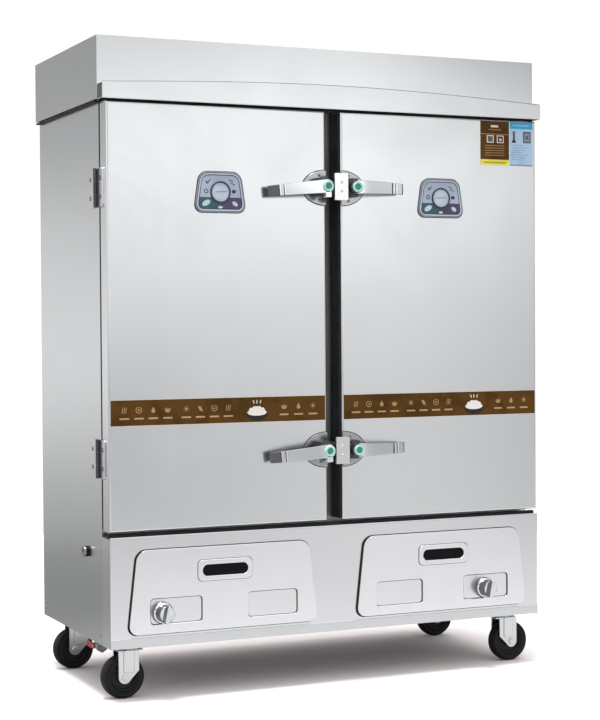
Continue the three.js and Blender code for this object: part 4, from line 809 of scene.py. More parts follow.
for side in SIDES:
    for level in LEVELS:
        node = f"{side}_{level}_latch_plate"
        low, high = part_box(node)
        inner_x = min(abs(low.x), abs(high.x))
        width = high.x - low.x
        height = high.z - low.z
        middle_z = (low.z + high.z) / 2
        angles = [math.pi * (i / PLATE_ARC_STEPS - 0.5) for i in range(PLATE_ARC_STEPS + 1)]
        outline = [(width * math.cos(a), height / 2 * math.sin(a)) for a in angles]
        backing = [(x + BACKING, z * (1 + 2 * BACKING / height)) for x, z in outline]
        plate = bmesh.new()
        place(plate, slab(backing, PLATE_THICKNESS / 3), (inner_x, high.y, middle_z), 1)
        place(plate, slab(outline, PLATE_THICKNESS, rim=PLATE_RIM), (inner_x, high.y, middle_z))
        lever_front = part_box(f"{side}_{level}_lever")[0].y
        block_depth = high.y - lever_front - CAP_DEPTH - HUB_DEPTH - CAM_DEPTH - BLOCK_GAP
        block = panel(*BLOCK_SIZE, block_depth, radius=BLOCK_CORNER, rim=BLOCK_RIM)
        # Painted shade: the pin's block is dark as the shade beside the lever.
        place(plate, block, (PIVOT_X, high.y, middle_z), 1)
        for x_share, z_share in SCREW_SHARES:
            spot = (inner_x + width * x_share, high.y - PLATE_THICKNESS, middle_z + height * z_share)
            place(plate, screw_head(*SCREW_SIZE), spot)
        mirror_to(plate, side)
        add_piece(f"{node}_metal", plate, ["plate_steel", "dark_steel"], f"{side}_door",
                  [node])
print("latch plates done")

# %% [markdown]
# A hinge has a wide leaf on the cabinet's side and a narrow one on the door's edge, with three
# knuckles about a pin. The body's leaf has the outer two knuckles and the door's leaf the middle
# one. A hinge made as one piece would tear when the door opens, so each leaf is a piece of its own
# and keeps its knuckles. Screws sit in countersinks painted dark as shade, and the knuckles are
# painted dark as the shade along the barrel.

# %% Model the hinges
HINGE_LEAF = 2.5 * MM
HINGE_CORNER = 7.2 * MM
HINGE_RIM = 0.6 * MM
HINGE_BARREL = 5.5 * MM
KNUCKLE_RADIUS = 4 * MM
KNUCKLE_RIM = 0.5 * MM
KNUCKLE_GAP = 0.6 * MM
COUNTERSINK = (5.67 * MM, 2.94 * MM, 0.5 * MM, 0.2 * MM, 24)
HINGE_SCREW = (3.024 * MM, 0.4 * MM)
HINGE_SCREW_SPACING = 42 * MM
HINGE_SCREW_INSET = 15 * MM
LEAVES = (("body_leaf", (0, 2), 1), ("door_leaf", (1,), 0))


def hinge_leaf(side, node, far_y, knuckles):
    """A leaf with its screws, and the knuckles that it carries, counted from below."""
    low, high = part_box(node)
    hand = SIDES[side]
    axis_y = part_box(f"{side}_upper_hinge_body_leaf")[0].y + HINGE_BARREL
    skin_x = hand * min(abs(low.x), abs(high.x))
    middle_z = (low.z + high.z) / 2
    length = high.z - low.z
    shape = bmesh.new()
    leaf = panel(abs(far_y - axis_y), length, HINGE_LEAF, radius=HINGE_CORNER, rim=HINGE_RIM)
    place(shape, leaf, (skin_x, (axis_y + far_y) / 2, middle_z), axes=OUTWARD[side])
    screw_y = far_y - math.copysign(HINGE_SCREW_INSET, far_y - axis_y)
    for step in (-1, 1):
        spot = (skin_x + hand * HINGE_LEAF, screw_y, middle_z + step * HINGE_SCREW_SPACING / 2)
        # Painted shade: the countersink is a dark ring.
        place(shape, ring(*COUNTERSINK), spot, 1, OUTWARD[side])
        place(shape, screw_head(*HINGE_SCREW), spot, axes=OUTWARD[side])
    third = length / 3
    axis_x = hand * (max(abs(low.x), abs(high.x)) - HINGE_BARREL)
    for index in knuckles:
        spot = (axis_x, axis_y, low.z + index * third + KNUCKLE_GAP / 2)
        # Painted shade: the knuckles are dark as the shade along the barrel.
        place(shape, button(KNUCKLE_RADIUS, third - KNUCKLE_GAP, KNUCKLE_RIM), spot, 1, UPWARD)
    return shape


for side in SIDES:
    bodies = {"body_leaf": "cabinet", "door_leaf": f"{side}_door"}
    for level in LEVELS:
        for leaf, knuckles, far_end in LEAVES:
            node = f"{side}_{level}_hinge_{leaf}"
            shape = hinge_leaf(side, node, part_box(node)[far_end].y, knuckles)
            add_piece(f"{node}_metal", shape, ["fork_steel", "dark_steel"], bodies[leaf],
                      [node])
print("hinges done")

# %% [markdown]
# Plates and printed marks are drawn as flat outlines before they get their depth. Four kinds are
# enough for all of them: an arc, a trapezoid, a straight stroke and a leaf.

# %% Define the outlines of plates and prints
def arc(radius, start, end, steps=20, middle=(0, 0)):
    angles = [start + (end - start) * i / steps for i in range(steps + 1)]
    return [(middle[0] + radius * math.cos(a), middle[1] + radius * math.sin(a)) for a in angles]


def trapezoid(bottom, top, height, inset=0):
    return [(-bottom / 2 + inset, -height / 2 + inset), (bottom / 2 - inset, -height / 2 + inset),
            (top / 2 - inset, height / 2 - inset), (-top / 2 + inset, height / 2 - inset)]


def bar(start, end, width):
    """A thin straight stroke between two points."""
    a, b = Vector(start), Vector(end)
    side = Vector((-(b - a).y, (b - a).x)).normalized() * width / 2
    return [tuple(a - side), tuple(b - side), tuple(b + side), tuple(a + side)]


def leaf_shape(middle, width, height, lean=0):
    points = arc(1, 0, math.tau, 19)[:-1]
    turn = Matrix.Rotation(lean, 2)
    return [tuple(Vector(middle) + turn @ Vector((x * width / 2, y * height / 2))) for x, y in points]


print("outline tools ready")

# %% [markdown]
# A badge is a stamped plate with a rolled rim, and a round dial in the middle. Its rim steps down
# to the face in four stages, which draw a grey, a dark, a pale and a dark line around the badge. A
# painted line would do from afar, but real steps also catch the light. Marks are printed, so each
# is a film a tenth of a millimetre thick, a layer higher where two of them overlap.

# %% Draw the parts of a badge
BADGE_FINISHES = ["badge_rim", "badge_face", "badge_ink_and_shadow", "dial_glass", "badge_dusk", "cream_ink",
                  "badge_teal"]
RIM_GREY, PALE, INK_AND_SHADOW, GLASS, DUSK, GLOW, TEAL = range(len(BADGE_FINISHES))
BADGE_CORNER = 22 * MM
BADGE_DEPTH = 4 * MM
BADGE_EDGE = MM
BADGE_RIM = 9 * MM
RIM_STAGES = ((0.14, 0.3, 0.5, RIM_GREY, INK_AND_SHADOW), (0.10, 0.2, -0.4, INK_AND_SHADOW, GLASS),
              (0.34, 0.2, 0.4, GLASS, INK_AND_SHADOW), (0.16, 0.2, 0.6, INK_AND_SHADOW, PALE))
PRINT = 0.12 * MM
DIAL_RADIUS = 25 * MM
DIAL_RISE = 2.6 * MM
DIAL_RIM = 0.8 * MM
DIAL_HOLE_SHARE = 0.84
DIAL_SIDES = 64
DISC_SHARE = 0.86
DISC_RISE = DIAL_RISE * 0.5
DISC_RIM = 0.2 * MM
TICKS = 24
TICK_SPAN = (0.68, 0.78)
TICK_WIDTH = 0.5 * MM
NEEDLE_SHARES = ((-0.55, 0), (0.6, 0.06))
NEEDLE_WIDTH = MM


def stamped_plate(corners):
    """A plate whose face is pressed in by stages, each a flat margin and then a wall."""
    plate = slab(corners, BADGE_DEPTH, radius=BADGE_CORNER, rim=BADGE_EDGE)
    face = max(plate.faces, key=lambda face: (round(face.calc_center_median().z, 6), face.calc_area()))
    for share, wall, depth, rim_finish, finish_index in RIM_STAGES:
        for width, rise in ((BADGE_RIM * share, 0), (wall * MM, -depth * MM)):
            made = bmesh.ops.inset_region(plate, faces=[face], thickness=width, depth=rise,
                                          use_even_offset=True)
            for border in made["faces"]:
                border.material_index = rim_finish
        face.material_index = finish_index
    return plate


def cut_slab(outline, depth, cuts):
    """A slab of an outline after cutting away what lies beyond each (point, direction)."""
    shape = flat(outline)
    for point, direction in cuts:
        whole = shape.verts[:] + shape.edges[:] + shape.faces[:]
        bmesh.ops.bisect_plane(shape, geom=whole, plane_co=(*point, 0), plane_no=(*direction, 0),
                               clear_outer=True)
    return thicken(shape, depth)


def draw_dial(badge, spot):
    """A dark ring around a pale disc, with short marks and a needle on it."""
    rim = ring(DIAL_RADIUS, DIAL_RADIUS * DIAL_HOLE_SHARE, DIAL_RISE, DIAL_RIM, DIAL_SIDES)
    disc = button(DIAL_RADIUS * DISC_SHARE, DISC_RISE, DISC_RIM, DIAL_SIDES)
    place(badge, rim, spot, INK_AND_SHADOW)
    place(badge, disc, spot, GLASS)
    on_disc = (spot[0], spot[1] - DISC_RISE, spot[2])
    for i in range(TICKS):
        angle = math.tau * i / TICKS
        reaches = [DIAL_RADIUS * share for share in TICK_SPAN]
        ends = [(math.cos(angle) * reach, math.sin(angle) * reach) for reach in reaches]
        place(badge, slab(bar(*ends, TICK_WIDTH), PRINT), on_disc, INK_AND_SHADOW)
    needle = bar(*[(DIAL_RADIUS * x, DIAL_RADIUS * z) for x, z in NEEDLE_SHARES], NEEDLE_WIDTH)
    place(badge, slab(needle, PRINT * 3), on_disc, DUSK)


print("badge rim", round(BADGE_RIM / MM), "mm wide, dial", round(2 * DIAL_RADIUS / MM), "mm across")

# %% [markdown]
# The face is printed dark in its lower half, teal on the left and dusk on the right, with a few
# leaves and strokes around the dial. The layout is this file's own. Places are shares of the
# badge's width and height, so a badge of another size keeps its proportions.

# %% Assemble the badges
BADGE_TOP_SHARE = 101 / 128
BADGE_GROWTH = 1.06
BADGE_INNER_INSET = BADGE_RIM * 0.9
BADGE_INNER_CORNER = 15 * MM
BADGE_LINE = 1.4 * MM
FACE_SUNK = 1.1 * MM
DARK_TOP = -0.13
BADGE_LEAVES = (((-0.27, -0.27), (0.17, 0.13), 0.5, GLASS, 2), ((0.28, -0.28), (0.12, 0.10), -0.6, GLASS, 2),
                ((0, -0.37), (0.09, 0.06), 0, GLOW, 2), ((0.26, 0.02), (0.085, 0.09), 0, INK_AND_SHADOW, 1))
BADGE_STROKES = (((-0.27, 0.20), (-0.19, 0.30), 2.2, INK_AND_SHADOW), ((-0.29, 0.27), (-0.22, 0.21), 1.6, DUSK),
                 ((0.16, 0.31), (0.24, 0.27), 2, INK_AND_SHADOW), ((0.20, 0.24), (0.28, 0.18), 2, INK_AND_SHADOW))
SMALL_RING = (5.2 * MM, 3.4 * MM, PRINT * 2, 0.05 * MM, 28)
SMALL_RING_SPOT = (-0.27, 0.02)

for side in SIDES:
    node = f"{side}_gauge"
    low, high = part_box(node)
    width = (high.x - low.x) * BADGE_GROWTH
    height = (high.z - low.z) * BADGE_GROWTH
    form = (width, width * BADGE_TOP_SHARE, height)
    middle = rear_middle(node)
    film = (middle[0], middle[1] - BADGE_DEPTH + FACE_SUNK, middle[2])
    badge = bmesh.new()
    place(badge, stamped_plate(trapezoid(*form)), middle)
    # Painted shadow: a dark slab a little larger than the badge lies behind it.
    shadow = slab(rounded(trapezoid(*form, -BADGE_LINE), BADGE_CORNER), BADGE_LINE / 2)
    place(badge, shadow, middle, INK_AND_SHADOW)
    inner = rounded(trapezoid(*form, BADGE_INNER_INSET), BADGE_INNER_CORNER)
    for hand, index in ((-1, TEAL), (1, DUSK)):
        cuts = [((0, height * DARK_TOP), (0, 1)), ((0, 0), (-hand, 0))]
        place(badge, cut_slab(inner, PRINT, cuts), film, index)
    for (x, z), (wide, tall), lean, index, layer in BADGE_LEAVES:
        outline = leaf_shape((width * x, height * z), width * wide, height * tall, lean)
        place(badge, slab(outline, PRINT * layer), film, index)
    for *ends, thick, index in BADGE_STROKES:
        start, end = [(width * x, height * z) for x, z in ends]
        place(badge, slab(bar(start, end, thick * MM), PRINT), film, index)
    x_share, z_share = SMALL_RING_SPOT
    ring_spot = (film[0] + width * x_share, film[1], film[2] + height * z_share)
    place(badge, ring(*SMALL_RING), ring_spot, INK_AND_SHADOW)
    draw_dial(badge, film)
    add_piece(f"{node}_plate", badge, BADGE_FINISHES, f"{side}_door", [node])
    print(node, "badge", round(width / MM), "x", round(height / MM), "mm")

# %% [markdown]
# A burner cover is one sheet with two pockets pressed into it, and its sight window has a slot in
# the same way. A Boolean cut would leave untidy faces, so the front is filled between several
# outlines at once. Every outline is then drawn down by its own depth, closed at the bottom and
# softened along its edge.

# %% Define a front with pockets
FRONT_FACING = 0.8
TURNED_AWAY = -0.35


def pierced(outer, depth, rim, pockets):
    """A slab whose front has pockets, each with an outline, a depth, a rim and a finish number."""
    shape = bmesh.new()
    loops = []
    for outline in [outer] + [pocket[0] for pocket in pockets]:
        verts = [shape.verts.new((*point, depth)) for point in outline]
        loops.append([shape.edges.new(pair) for pair in zip(verts, verts[1:] + verts[:1])])
    bmesh.ops.triangle_fill(shape, use_beauty=True, edges=[edge for edges in loops for edge in edges])
    walls = [(depth, rim, 0)] + [pocket[1:] for pocket in pockets]
    for edges, (drop, soft, finish_index) in zip(loops, walls):
        fresh = bmesh.ops.extrude_edge_only(shape, edges=edges)["geom"]
        lowered = [item for item in fresh if isinstance(item, bmesh.types.BMVert)]
        bmesh.ops.translate(shape, vec=(0, 0, -drop), verts=lowered)
        closing = [item for item in fresh if isinstance(item, bmesh.types.BMEdge)
                   and all(vert in lowered for vert in item.verts)]
        for face in bmesh.ops.edgenet_fill(shape, edges=closing)["faces"]:
            face.material_index = finish_index
        soften(shape, edges, soft)
    return shape


def faces_shade(normal):
    """Painted shade: the walls that turn to the left or down take the dark finish, for the darker half of the
    studio that they see.
    """
    return normal.z < FRONT_FACING and (normal.x < TURNED_AWAY or normal.y < TURNED_AWAY)


print("pocket tool ready")

# %% [markdown]
# A cover narrows to the top and has a rubber seal behind its edge, set a little to the left and down
# so that it shows there as painted shadow too. Its left and right pockets hold the knob and a blank,
# and the dark window with its raised frame sits above them. Thin grey slabs behind the seal and the
# frame are painted shadow in the gaps there, and a brighter sheet on the floor of each pocket is a
# painted highlight for the light that the pocket catches from the front.

# %% Model the burner covers
COVER_FINISHES = ["pressed_steel", "dark_glass", "shade_steel", "rubber", "pocket_highlight_steel"]
WINDOW, SHADE, SEAL, POCKET = range(1, len(COVER_FINISHES))
COVER_WIDTHS = (468 * MM, 424 * MM)
COVER_CORNER = 24 * MM
COVER_DEPTH = 7 * MM
COVER_RIM = 2.6 * MM
COVER_SEAL = 2.4 * MM
POCKET_SIZE = (124 * MM, 58 * MM)
POCKET_CORNER = 8 * MM
POCKET_DEPTH = 4 * MM
POCKET_RIM = 1.6 * MM
POCKET_SPOTS = (-119 * MM, 119 * MM)
POCKET_Z = 204 * MM
FRAME_SIZE = (134 * MM, 48 * MM)
FRAME_CORNER = 12 * MM
FRAME_RISE = 3 * MM
FRAME_RIM = 1.2 * MM
FRAME_GAP = 2.4 * MM
SLOT_Z = 290 * MM
SLOT_SIZE = (112 * MM, 26 * MM)
SLOT_END = 12.7 * MM
SLOT_STEPS = 10
SLOT_DEPTH = FRAME_RISE * 0.85
SLOT_RIM = 1.1 * MM
LINE_THICKNESS = 0.2 * MM
LINE_WIDTH = 1.2 * MM

for side in SIDES:
    node = f"{side}_burner_panel"
    low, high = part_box(node)
    form = (*COVER_WIDTHS, high.z - low.z)
    middle = rear_middle(node)
    front_y = middle[1] - COVER_DEPTH
    window_spot = (middle[0], front_y, SLOT_Z)
    pockets = [(rounded(rectangle(*POCKET_SIZE, (x, POCKET_Z - middle[2])), POCKET_CORNER), POCKET_DEPTH,
                POCKET_RIM, SHADE) for x in POCKET_SPOTS]
    cover = bmesh.new()
    front = pierced(rounded(trapezoid(*form), COVER_CORNER), COVER_DEPTH, COVER_RIM, pockets)
    # Painted shade on the walls that turn left or down.
    shade_where(front, SHADE, faces_shade)
    place(cover, front, middle)
    slot = (rounded(rectangle(*SLOT_SIZE), SLOT_END, SLOT_STEPS), SLOT_DEPTH, SLOT_RIM, WINDOW)
    window = pierced(rounded(rectangle(*FRAME_SIZE), FRAME_CORNER), FRAME_RISE, FRAME_RIM, [slot])
    place(cover, window, window_spot)
    # Painted shadow: dark slabs in the gap around the frame and around the cover's edge.
    gap = rounded(rectangle(*[length + FRAME_GAP for length in FRAME_SIZE]), FRAME_CORNER)
    place(cover, slab(gap, LINE_THICKNESS), window_spot, SHADE)
    # The seal is shifted left and down, so it is partly a real seal and partly painted shadow.
    around = [(x - COVER_SEAL / 2, y - COVER_SEAL / 3) for x, y in trapezoid(*form, -LINE_WIDTH)]
    place(cover, slab(rounded(around, COVER_CORNER), COVER_SEAL / 2), middle, SEAL)
    outline = rounded(trapezoid(*form, -LINE_WIDTH * 1.5), COVER_CORNER)
    place(cover, slab(outline, LINE_THICKNESS), middle, SHADE)
    # Painted highlight: a brighter sheet on the floor of each pocket.
    floor_size = [length - 2 * LINE_WIDTH for length in POCKET_SIZE]
    for x in POCKET_SPOTS:
        pocket_highlight = slab(rounded(rectangle(*floor_size), POCKET_CORNER), LINE_THICKNESS)
        place(cover, pocket_highlight, (middle[0] + x, front_y + POCKET_DEPTH, POCKET_Z), POCKET)
    add_piece(f"{side}_burner_cover", cover, COVER_FINISHES, "cabinet", [node])
    print(side, "cover", round(COVER_WIDTHS[0] / MM), "x", round(form[2] / MM), "mm")

# %% [markdown]
# A gas knob is a stepped round body with a bar across it for the fingers. A turned profile makes
# the body in one step, and the bar is a slab with round ends. Both knobs are turned a little from
# upright, as they stand in the photo when they are closed.

# %% Model the gas knobs
KNOB_TURN = math.radians(12)
KNOB_GRIP = (11 * MM, 40 * MM)
GRIP_END = KNOB_GRIP[0] * 0.48
GRIP_RIM = 1.6 * MM
KNOB_SKIRT = (25 * MM, 9 * MM)
SKIRT_SHARES = (0.55, 0.85)
SKIRT_SLOPE = 2 * MM
KNOB_BODY = 20 * MM
KNOB_TAPER = MM
KNOB_TOP_INSET = 3 * MM
KNOB_TOP_EDGE = 2 * MM
KNOB_DISH = MM
KNOB_SUNK = 0.3 * MM
KNOB_SIDES = 64
KNOB_FACE = 0.75
KNOB_LIT = 0.1
GRIP_LIT = -0.3


def knob_profile(reach):
    radius, skirt = KNOB_SKIRT
    wall, slope = [skirt * share for share in SKIRT_SHARES]
    top = reach - skirt
    return [(0, 0), (radius, 0), (radius, wall), (radius - SKIRT_SLOPE, slope), (KNOB_BODY, skirt),
            (KNOB_BODY - KNOB_TAPER, top - KNOB_TOP_EDGE), (KNOB_BODY - KNOB_TOP_INSET, top),
            (0, top - KNOB_DISH)]


for side in SIDES:
    node = f"{side}_gas_knob"
    low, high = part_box(node)
    back_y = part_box(f"{side}_burner_panel")[1].y - COVER_DEPTH + POCKET_DEPTH - KNOB_SUNK
    reach = back_y - low.y
    body = turned(knob_profile(reach), KNOB_SIDES)
    # Painted shade: the faces of the body and of the bar that turn to the left take the dark finish.
    shade_where(body, 1, lambda normal: normal.z < KNOB_FACE and normal.x < KNOB_LIT)
    grip = panel(*KNOB_GRIP, reach, radius=GRIP_END, rim=GRIP_RIM)
    shade_where(grip, 1, lambda normal: normal.x < GRIP_LIT)
    knob = bmesh.new()
    place(knob, body)
    place(knob, grip)
    to_pocket = Matrix.Translation(((low.x + high.x) / 2, back_y, (low.z + high.z) / 2))
    bmesh.ops.transform(knob, matrix=to_pocket @ Matrix.Rotation(KNOB_TURN, 4, "Y"), verts=knob.verts)
    add_piece(f"{node}_chrome", knob, ["chrome", "shade_steel"], f"{side}_knob_body",
              [node])
    print(node, "reaches", round(reach / MM, 1), "mm out")

# %% [markdown]
# A caster's wheel is a rubber tyre on a pressed hub. Both are rings, so each is one closed profile
# spun about the axle, drawn for half the width and mirrored. The tyre's profile has the raised
# line that moulded tyres show on their sides.

# %% Model the caster wheels
WHEEL_RADIUS = 50 * MM
WHEEL_HALF = 16 * MM
TYRE_INSIDE = 31 * MM
BOLT_SIZE = (8 * MM, 4.5 * MM)
TYRE_HALF = [(TYRE_INSIDE, 0.80), (TYRE_INSIDE + 2 * MM, 0.97), (TYRE_INSIDE + 4 * MM, 0.90),
             (WHEEL_RADIUS - 9 * MM, 0.90), (WHEEL_RADIUS - 7 * MM, 1), (WHEEL_RADIUS - 4 * MM, 0.94),
             (WHEEL_RADIUS - 1.2 * MM, 0.70), (WHEEL_RADIUS, 0.35)]
HUB_HALF = [(BOLT_SIZE[0] * 0.6, 1), (TYRE_INSIDE * 0.40, 1), (TYRE_INSIDE * 0.44, 0.92),
            (TYRE_INSIDE * 0.50, 0.42), (TYRE_INSIDE * 0.86, 0.42), (TYRE_INSIDE * 0.93, 0.74),
            (TYRE_INSIDE + 0.5 * MM, 0.78)]


def wheel_ring(half_profile, sides):
    """A closed ring from the half of its profile, whose heights are shares of half the width."""
    face = [(radius, WHEEL_HALF * share) for radius, share in half_profile]
    profile = face + [(radius, -rise) for radius, rise in face[::-1]]
    return turned(profile + [profile[0]], sides)


print("wheels", round(2 * WHEEL_RADIUS / MM), "mm across")

# %% [markdown]
# The fork is bent from one strip: a bridge under the swivel and a leg down each side, with a rib
# pressed into the leg and a bolt through the wheel. Each caster trails to its own side, as it was
# last pushed, so the legs lean there too. The parts simply overlap, because the bends between them
# are hidden under the chassis.

# %% Model the forks and set the casters
FORK_THICKNESS = 3 * MM
FORK_CORNER = 4 * MM
FORK_RIM = 0.8 * MM
FORK_TOP_HALF = 28 * MM
FORK_TIP = 15 * MM
FORK_SHOULDER = 14 * MM
FORK_FAR = 34 * MM
RIB_SIZE = (26 * MM, 2 * MM)
RIB_RIM = 1.6 * MM
RIB_STEEP = 0.5
RIB_CLEAR = BOLT_SIZE[0] * 1.3
NUT_RIM = 0.6 * MM


def caster_leg(height, hand):
    """A leg with upright sides that closes to a round tip about the axle, on the side it trails to."""
    outline = arc(FORK_TIP, math.pi, math.pi * 1.85, 14)
    outline += [(FORK_FAR, FORK_SHOULDER), (FORK_FAR, height), (-FORK_TIP, height)]
    return slab([(x * hand, z) for x, z in outline], FORK_THICKNESS, rim=FORK_RIM)


def caster_fork(fork_node, axle):
    low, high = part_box(fork_node)
    middle_y = (low.y + high.y) / 2
    height = high.z - axle.z
    shift = (low.x + high.x) / 2 - axle.x
    hand = math.copysign(1, shift)
    half = high.y - middle_y - BOLT_SIZE[1]
    fork = bmesh.new()
    for face in (-half, half - FORK_THICKNESS):
        leg_spot = (axle.x, middle_y + face + FORK_THICKNESS, axle.z)
        place(fork, caster_leg(height, hand), leg_spot)
    rib_x = axle.x + hand * (FORK_FAR - FORK_TIP) / 2
    rib_z = axle.z + height / 2 + RIB_CLEAR / 2
    rib_height = height - RIB_CLEAR
    for face, outside in ((-half, 0), (half, 1)):
        rib = panel(RIB_SIZE[0], rib_height, RIB_SIZE[1], radius=FORK_CORNER, rim=RIB_RIM)
        # Painted shade: the rib's steep flanks take the grey finish.
        shade_where(rib, 1, lambda normal: abs(normal.x) > RIB_STEEP)
        place(fork, rib, (rib_x, middle_y + face + RIB_SIZE[1] * outside, rib_z))
        nut = slab(arc(BOLT_SIZE[0], 0, math.tau, 6)[:-1], BOLT_SIZE[1], rim=NUT_RIM)
        place(fork, nut, (axle.x, middle_y + face + BOLT_SIZE[1] * outside, axle.z))
    width = FORK_TIP + hand * shift + FORK_TOP_HALF
    bridge = panel(width, half * 2, FORK_THICKNESS, radius=FORK_CORNER, rim=FORK_RIM)
    bridge_spot = (axle.x + hand * (width / 2 - FORK_TIP), middle_y, high.z - FORK_THICKNESS)
    place(fork, bridge, bridge_spot, axes=UPWARD)
    return fork


for end in ("front", "rear"):
    for side in SIDES:
        wheel_node = f"{end}_{side}_caster_wheel"
        fork_node = f"{end}_{side}_caster_fork"
        axle = sum(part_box(wheel_node), Vector()) / 2
        axle.z = WHEEL_RADIUS
        wheel = bmesh.new()
        place(wheel, wheel_ring(TYRE_HALF, 72), axle)
        place(wheel, wheel_ring(HUB_HALF, 64), axle, 1)
        add_piece(f"{wheel_node}_tyre", wheel, ["tyre", "hub_black"], f"{end}_{side}_roller",
                  [wheel_node])
        add_piece(f"{fork_node}_metal", caster_fork(fork_node, axle), ["fork_steel", "grey_steel"],
                  f"{end}_{side}_swivel", [fork_node])
        print(end, side, "caster at", [round(c, 3) for c in axle])

# %% [markdown]
# A brown film runs across both doors, and its small pictograms are this file's own: a ring, a drop,
# a leaf, a sun, rising steam and a pot. A picture on a texture would blur up close, so each is a
# handful of outlines on a small square whose half side is 1, scaled when it is printed.

# %% Draw the pictograms
ICON_ORDER = ("steam", "ring", "drop", "pot", "sun", "leaf", "ring", "steam", "pot", "drop", "sun")
RICE_LUMPS = ((11, 0.05), (17, 0.035))


def scaled(outline, scale):
    return [(x * scale, y * scale) for x, y in outline]


def spokes(count, near, far, width):
    angles = [math.tau * i / count for i in range(count)]
    ends = [[(math.cos(a) * reach, math.sin(a) * reach) for reach in (near, far)] for a in angles]
    return [bar(start, end, width) for start, end in ends]


def rice_heap(width, height):
    """A heap with a lumpy back: waves of two lengths run along a half ellipse, over a shallow foot."""
    heap = []
    for x, y in arc(1, 0, math.pi, 40):
        angle = math.atan2(y, x)
        lumps = 1 + sum(depth * math.sin(count * angle) for count, depth in RICE_LUMPS)
        heap.append((x * width / 2 * lumps, y * height * 0.72 * lumps))
    return heap + [(x * width / 2, y * height * 0.28) for x, y in arc(1, math.pi, math.tau, 16)[1:-1]]


GAP_START = math.radians(80)
GAP_END = math.radians(-260)
ICONS = {
    "ring": [arc(1, GAP_START, GAP_END, 24) + arc(0.76, GAP_END, GAP_START, 24),
             leaf_shape((0, 0), 0.6, 0.6)],
    "drop": [arc(0.62, math.radians(160), math.radians(380), 16, (0, -0.3)) + [(0, 1)]],
    "leaf": [leaf_shape((0, 0), 0.9, 1.9, 0.6), bar((0.3, -0.5), (0.9, -1), 0.12)],
    "sun": [leaf_shape((0, 0), 0.9, 0.9)] + spokes(8, 0.65, 1, 0.14),
    "steam": [bar((x - 0.15, -0.9), (x + 0.15, 0.9), 0.2) for x in (-0.55, 0, 0.55)],
    "pot": [arc(0.9, math.pi, math.tau, 16), rectangle(2, 0.16, (0, 0.2)), rectangle(0.3, 0.2, (0, 0.5))],
}
print("pictograms", sorted(ICONS))

# %% [markdown]
# Each pictogram stands over a short rounded bar, where a caption would be, and a bowl of white rice
# fills the wide space. A cream line borders the film above and below. All of it is laid on the film
# as thinner films, so the print stays sharp at any distance.

# %% Print the bands
BAND_FINISHES = ["brown_film", "gold_ink", "cream_ink", "hub_black", "caption_ink", "rice_white"]
FILM, GOLD, CREAM, DARK, CAPTION, RICE = range(len(BAND_FINISHES))
BAND_INSET = 5 * MM
EDGE_LINE = 1.2 * MM
ICON_SHARES = (0.06, 0.125, 0.19, 0.255, 0.34, 0.405, 0.47, 0.535, 0.80, 0.87, 0.94)
ICON_RADIUS = 7.5 * MM
ICON_RISE = 6 * MM
CAPTION_SIZE = (23 * MM, 3.6 * MM)
CAPTION_DROP = 13 * MM
BOWL_SHARE = 0.67
BOWL_SIZE = (54 * MM, 17 * MM)
BOWL_DROP = 9 * MM
RICE_SIZE = (46 * MM, 22 * MM)
RICE_DROP = 8 * MM
PUFFS = ((-8 * MM, 0.3), (0, 0), (9 * MM, -0.3))
PUFF_SIZE = (3 * MM, 9 * MM)
PUFF_RISE = 18 * MM


def print_icon(film, kind, x, y, z):
    for outline in ICONS[kind]:
        place(film, slab(scaled(outline, ICON_RADIUS), PRINT), (x, y, z + ICON_RISE), GOLD)
    caption = panel(*CAPTION_SIZE, PRINT, radius=CAPTION_SIZE[1] * 0.4)
    place(film, caption, (x, y, z - CAPTION_DROP), CAPTION)


def print_bowl(film, x, y, z):
    """A half-round bowl flattened to its height, the heap of rice on it and three puffs of steam."""
    flatness = BOWL_SIZE[1] / BOWL_SIZE[0] * 2
    bowl = [(a, b * flatness) for a, b in scaled(arc(1, math.pi, math.tau, 20), BOWL_SIZE[0] / 2)]
    place(film, slab(bowl, PRINT), (x, y, z - BOWL_DROP), DARK)
    place(film, slab(rice_heap(*RICE_SIZE), PRINT * 2), (x, y, z - RICE_DROP), RICE)
    for aside, lean in PUFFS:
        puff = leaf_shape((aside, PUFF_RISE), *PUFF_SIZE, lean)
        place(film, slab(puff, PRINT), (x, y, z), CREAM)


for side in SIDES:
    node = f"{side}_band"
    low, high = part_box(node)
    skin_low, skin_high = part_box(f"{side}_door_skin")
    low.x = skin_low.x + BAND_INSET
    high.x = skin_high.x - BAND_INSET
    width = high.x - low.x
    height = high.z - low.z
    middle_x = (low.x + high.x) / 2
    middle_z = (low.z + high.z) / 2
    film = bmesh.new()
    place(film, panel(width, height, high.y - low.y), (middle_x, high.y, middle_z), FILM)
    for edge in (-1, 1):
        line_z = middle_z + edge * (height - EDGE_LINE) / 2
        place(film, panel(width, EDGE_LINE, PRINT), (middle_x, low.y, line_z), CREAM)
    for share, kind in zip(ICON_SHARES, ICON_ORDER):
        print_icon(film, kind, low.x + width * share, low.y, middle_z)
    print_bowl(film, low.x + width * BOWL_SHARE, low.y, middle_z)
    add_piece(f"{node}_film", film, BAND_FINISHES, f"{side}_door", [node])
    print(node, "film", round(width / MM), "x", round(height / MM), "mm")

# %% [markdown]
# Two plain cards hang side by side at the top of the right door. The brown one has a gold mark, two
# small frames, five lines and a yellow foot; the blue one has a header, some blocks and a few lines.
# They are printed as rectangles in shares of the card, in layers that lie on one another.

# %% Make the two cards
CARD_THICKNESS = 0.4 * MM
CARD_BOTTOM = 1.238
CARD_TOP = 1.346
CARD_HEIGHT = CARD_TOP - CARD_BOTTOM
BROWN_CARD = (0.4007, 0.482)
BLUE_CARD = (0.4842, 0.5498)
LINE_PITCH = 0.055
LINE_HEIGHT = 0.012


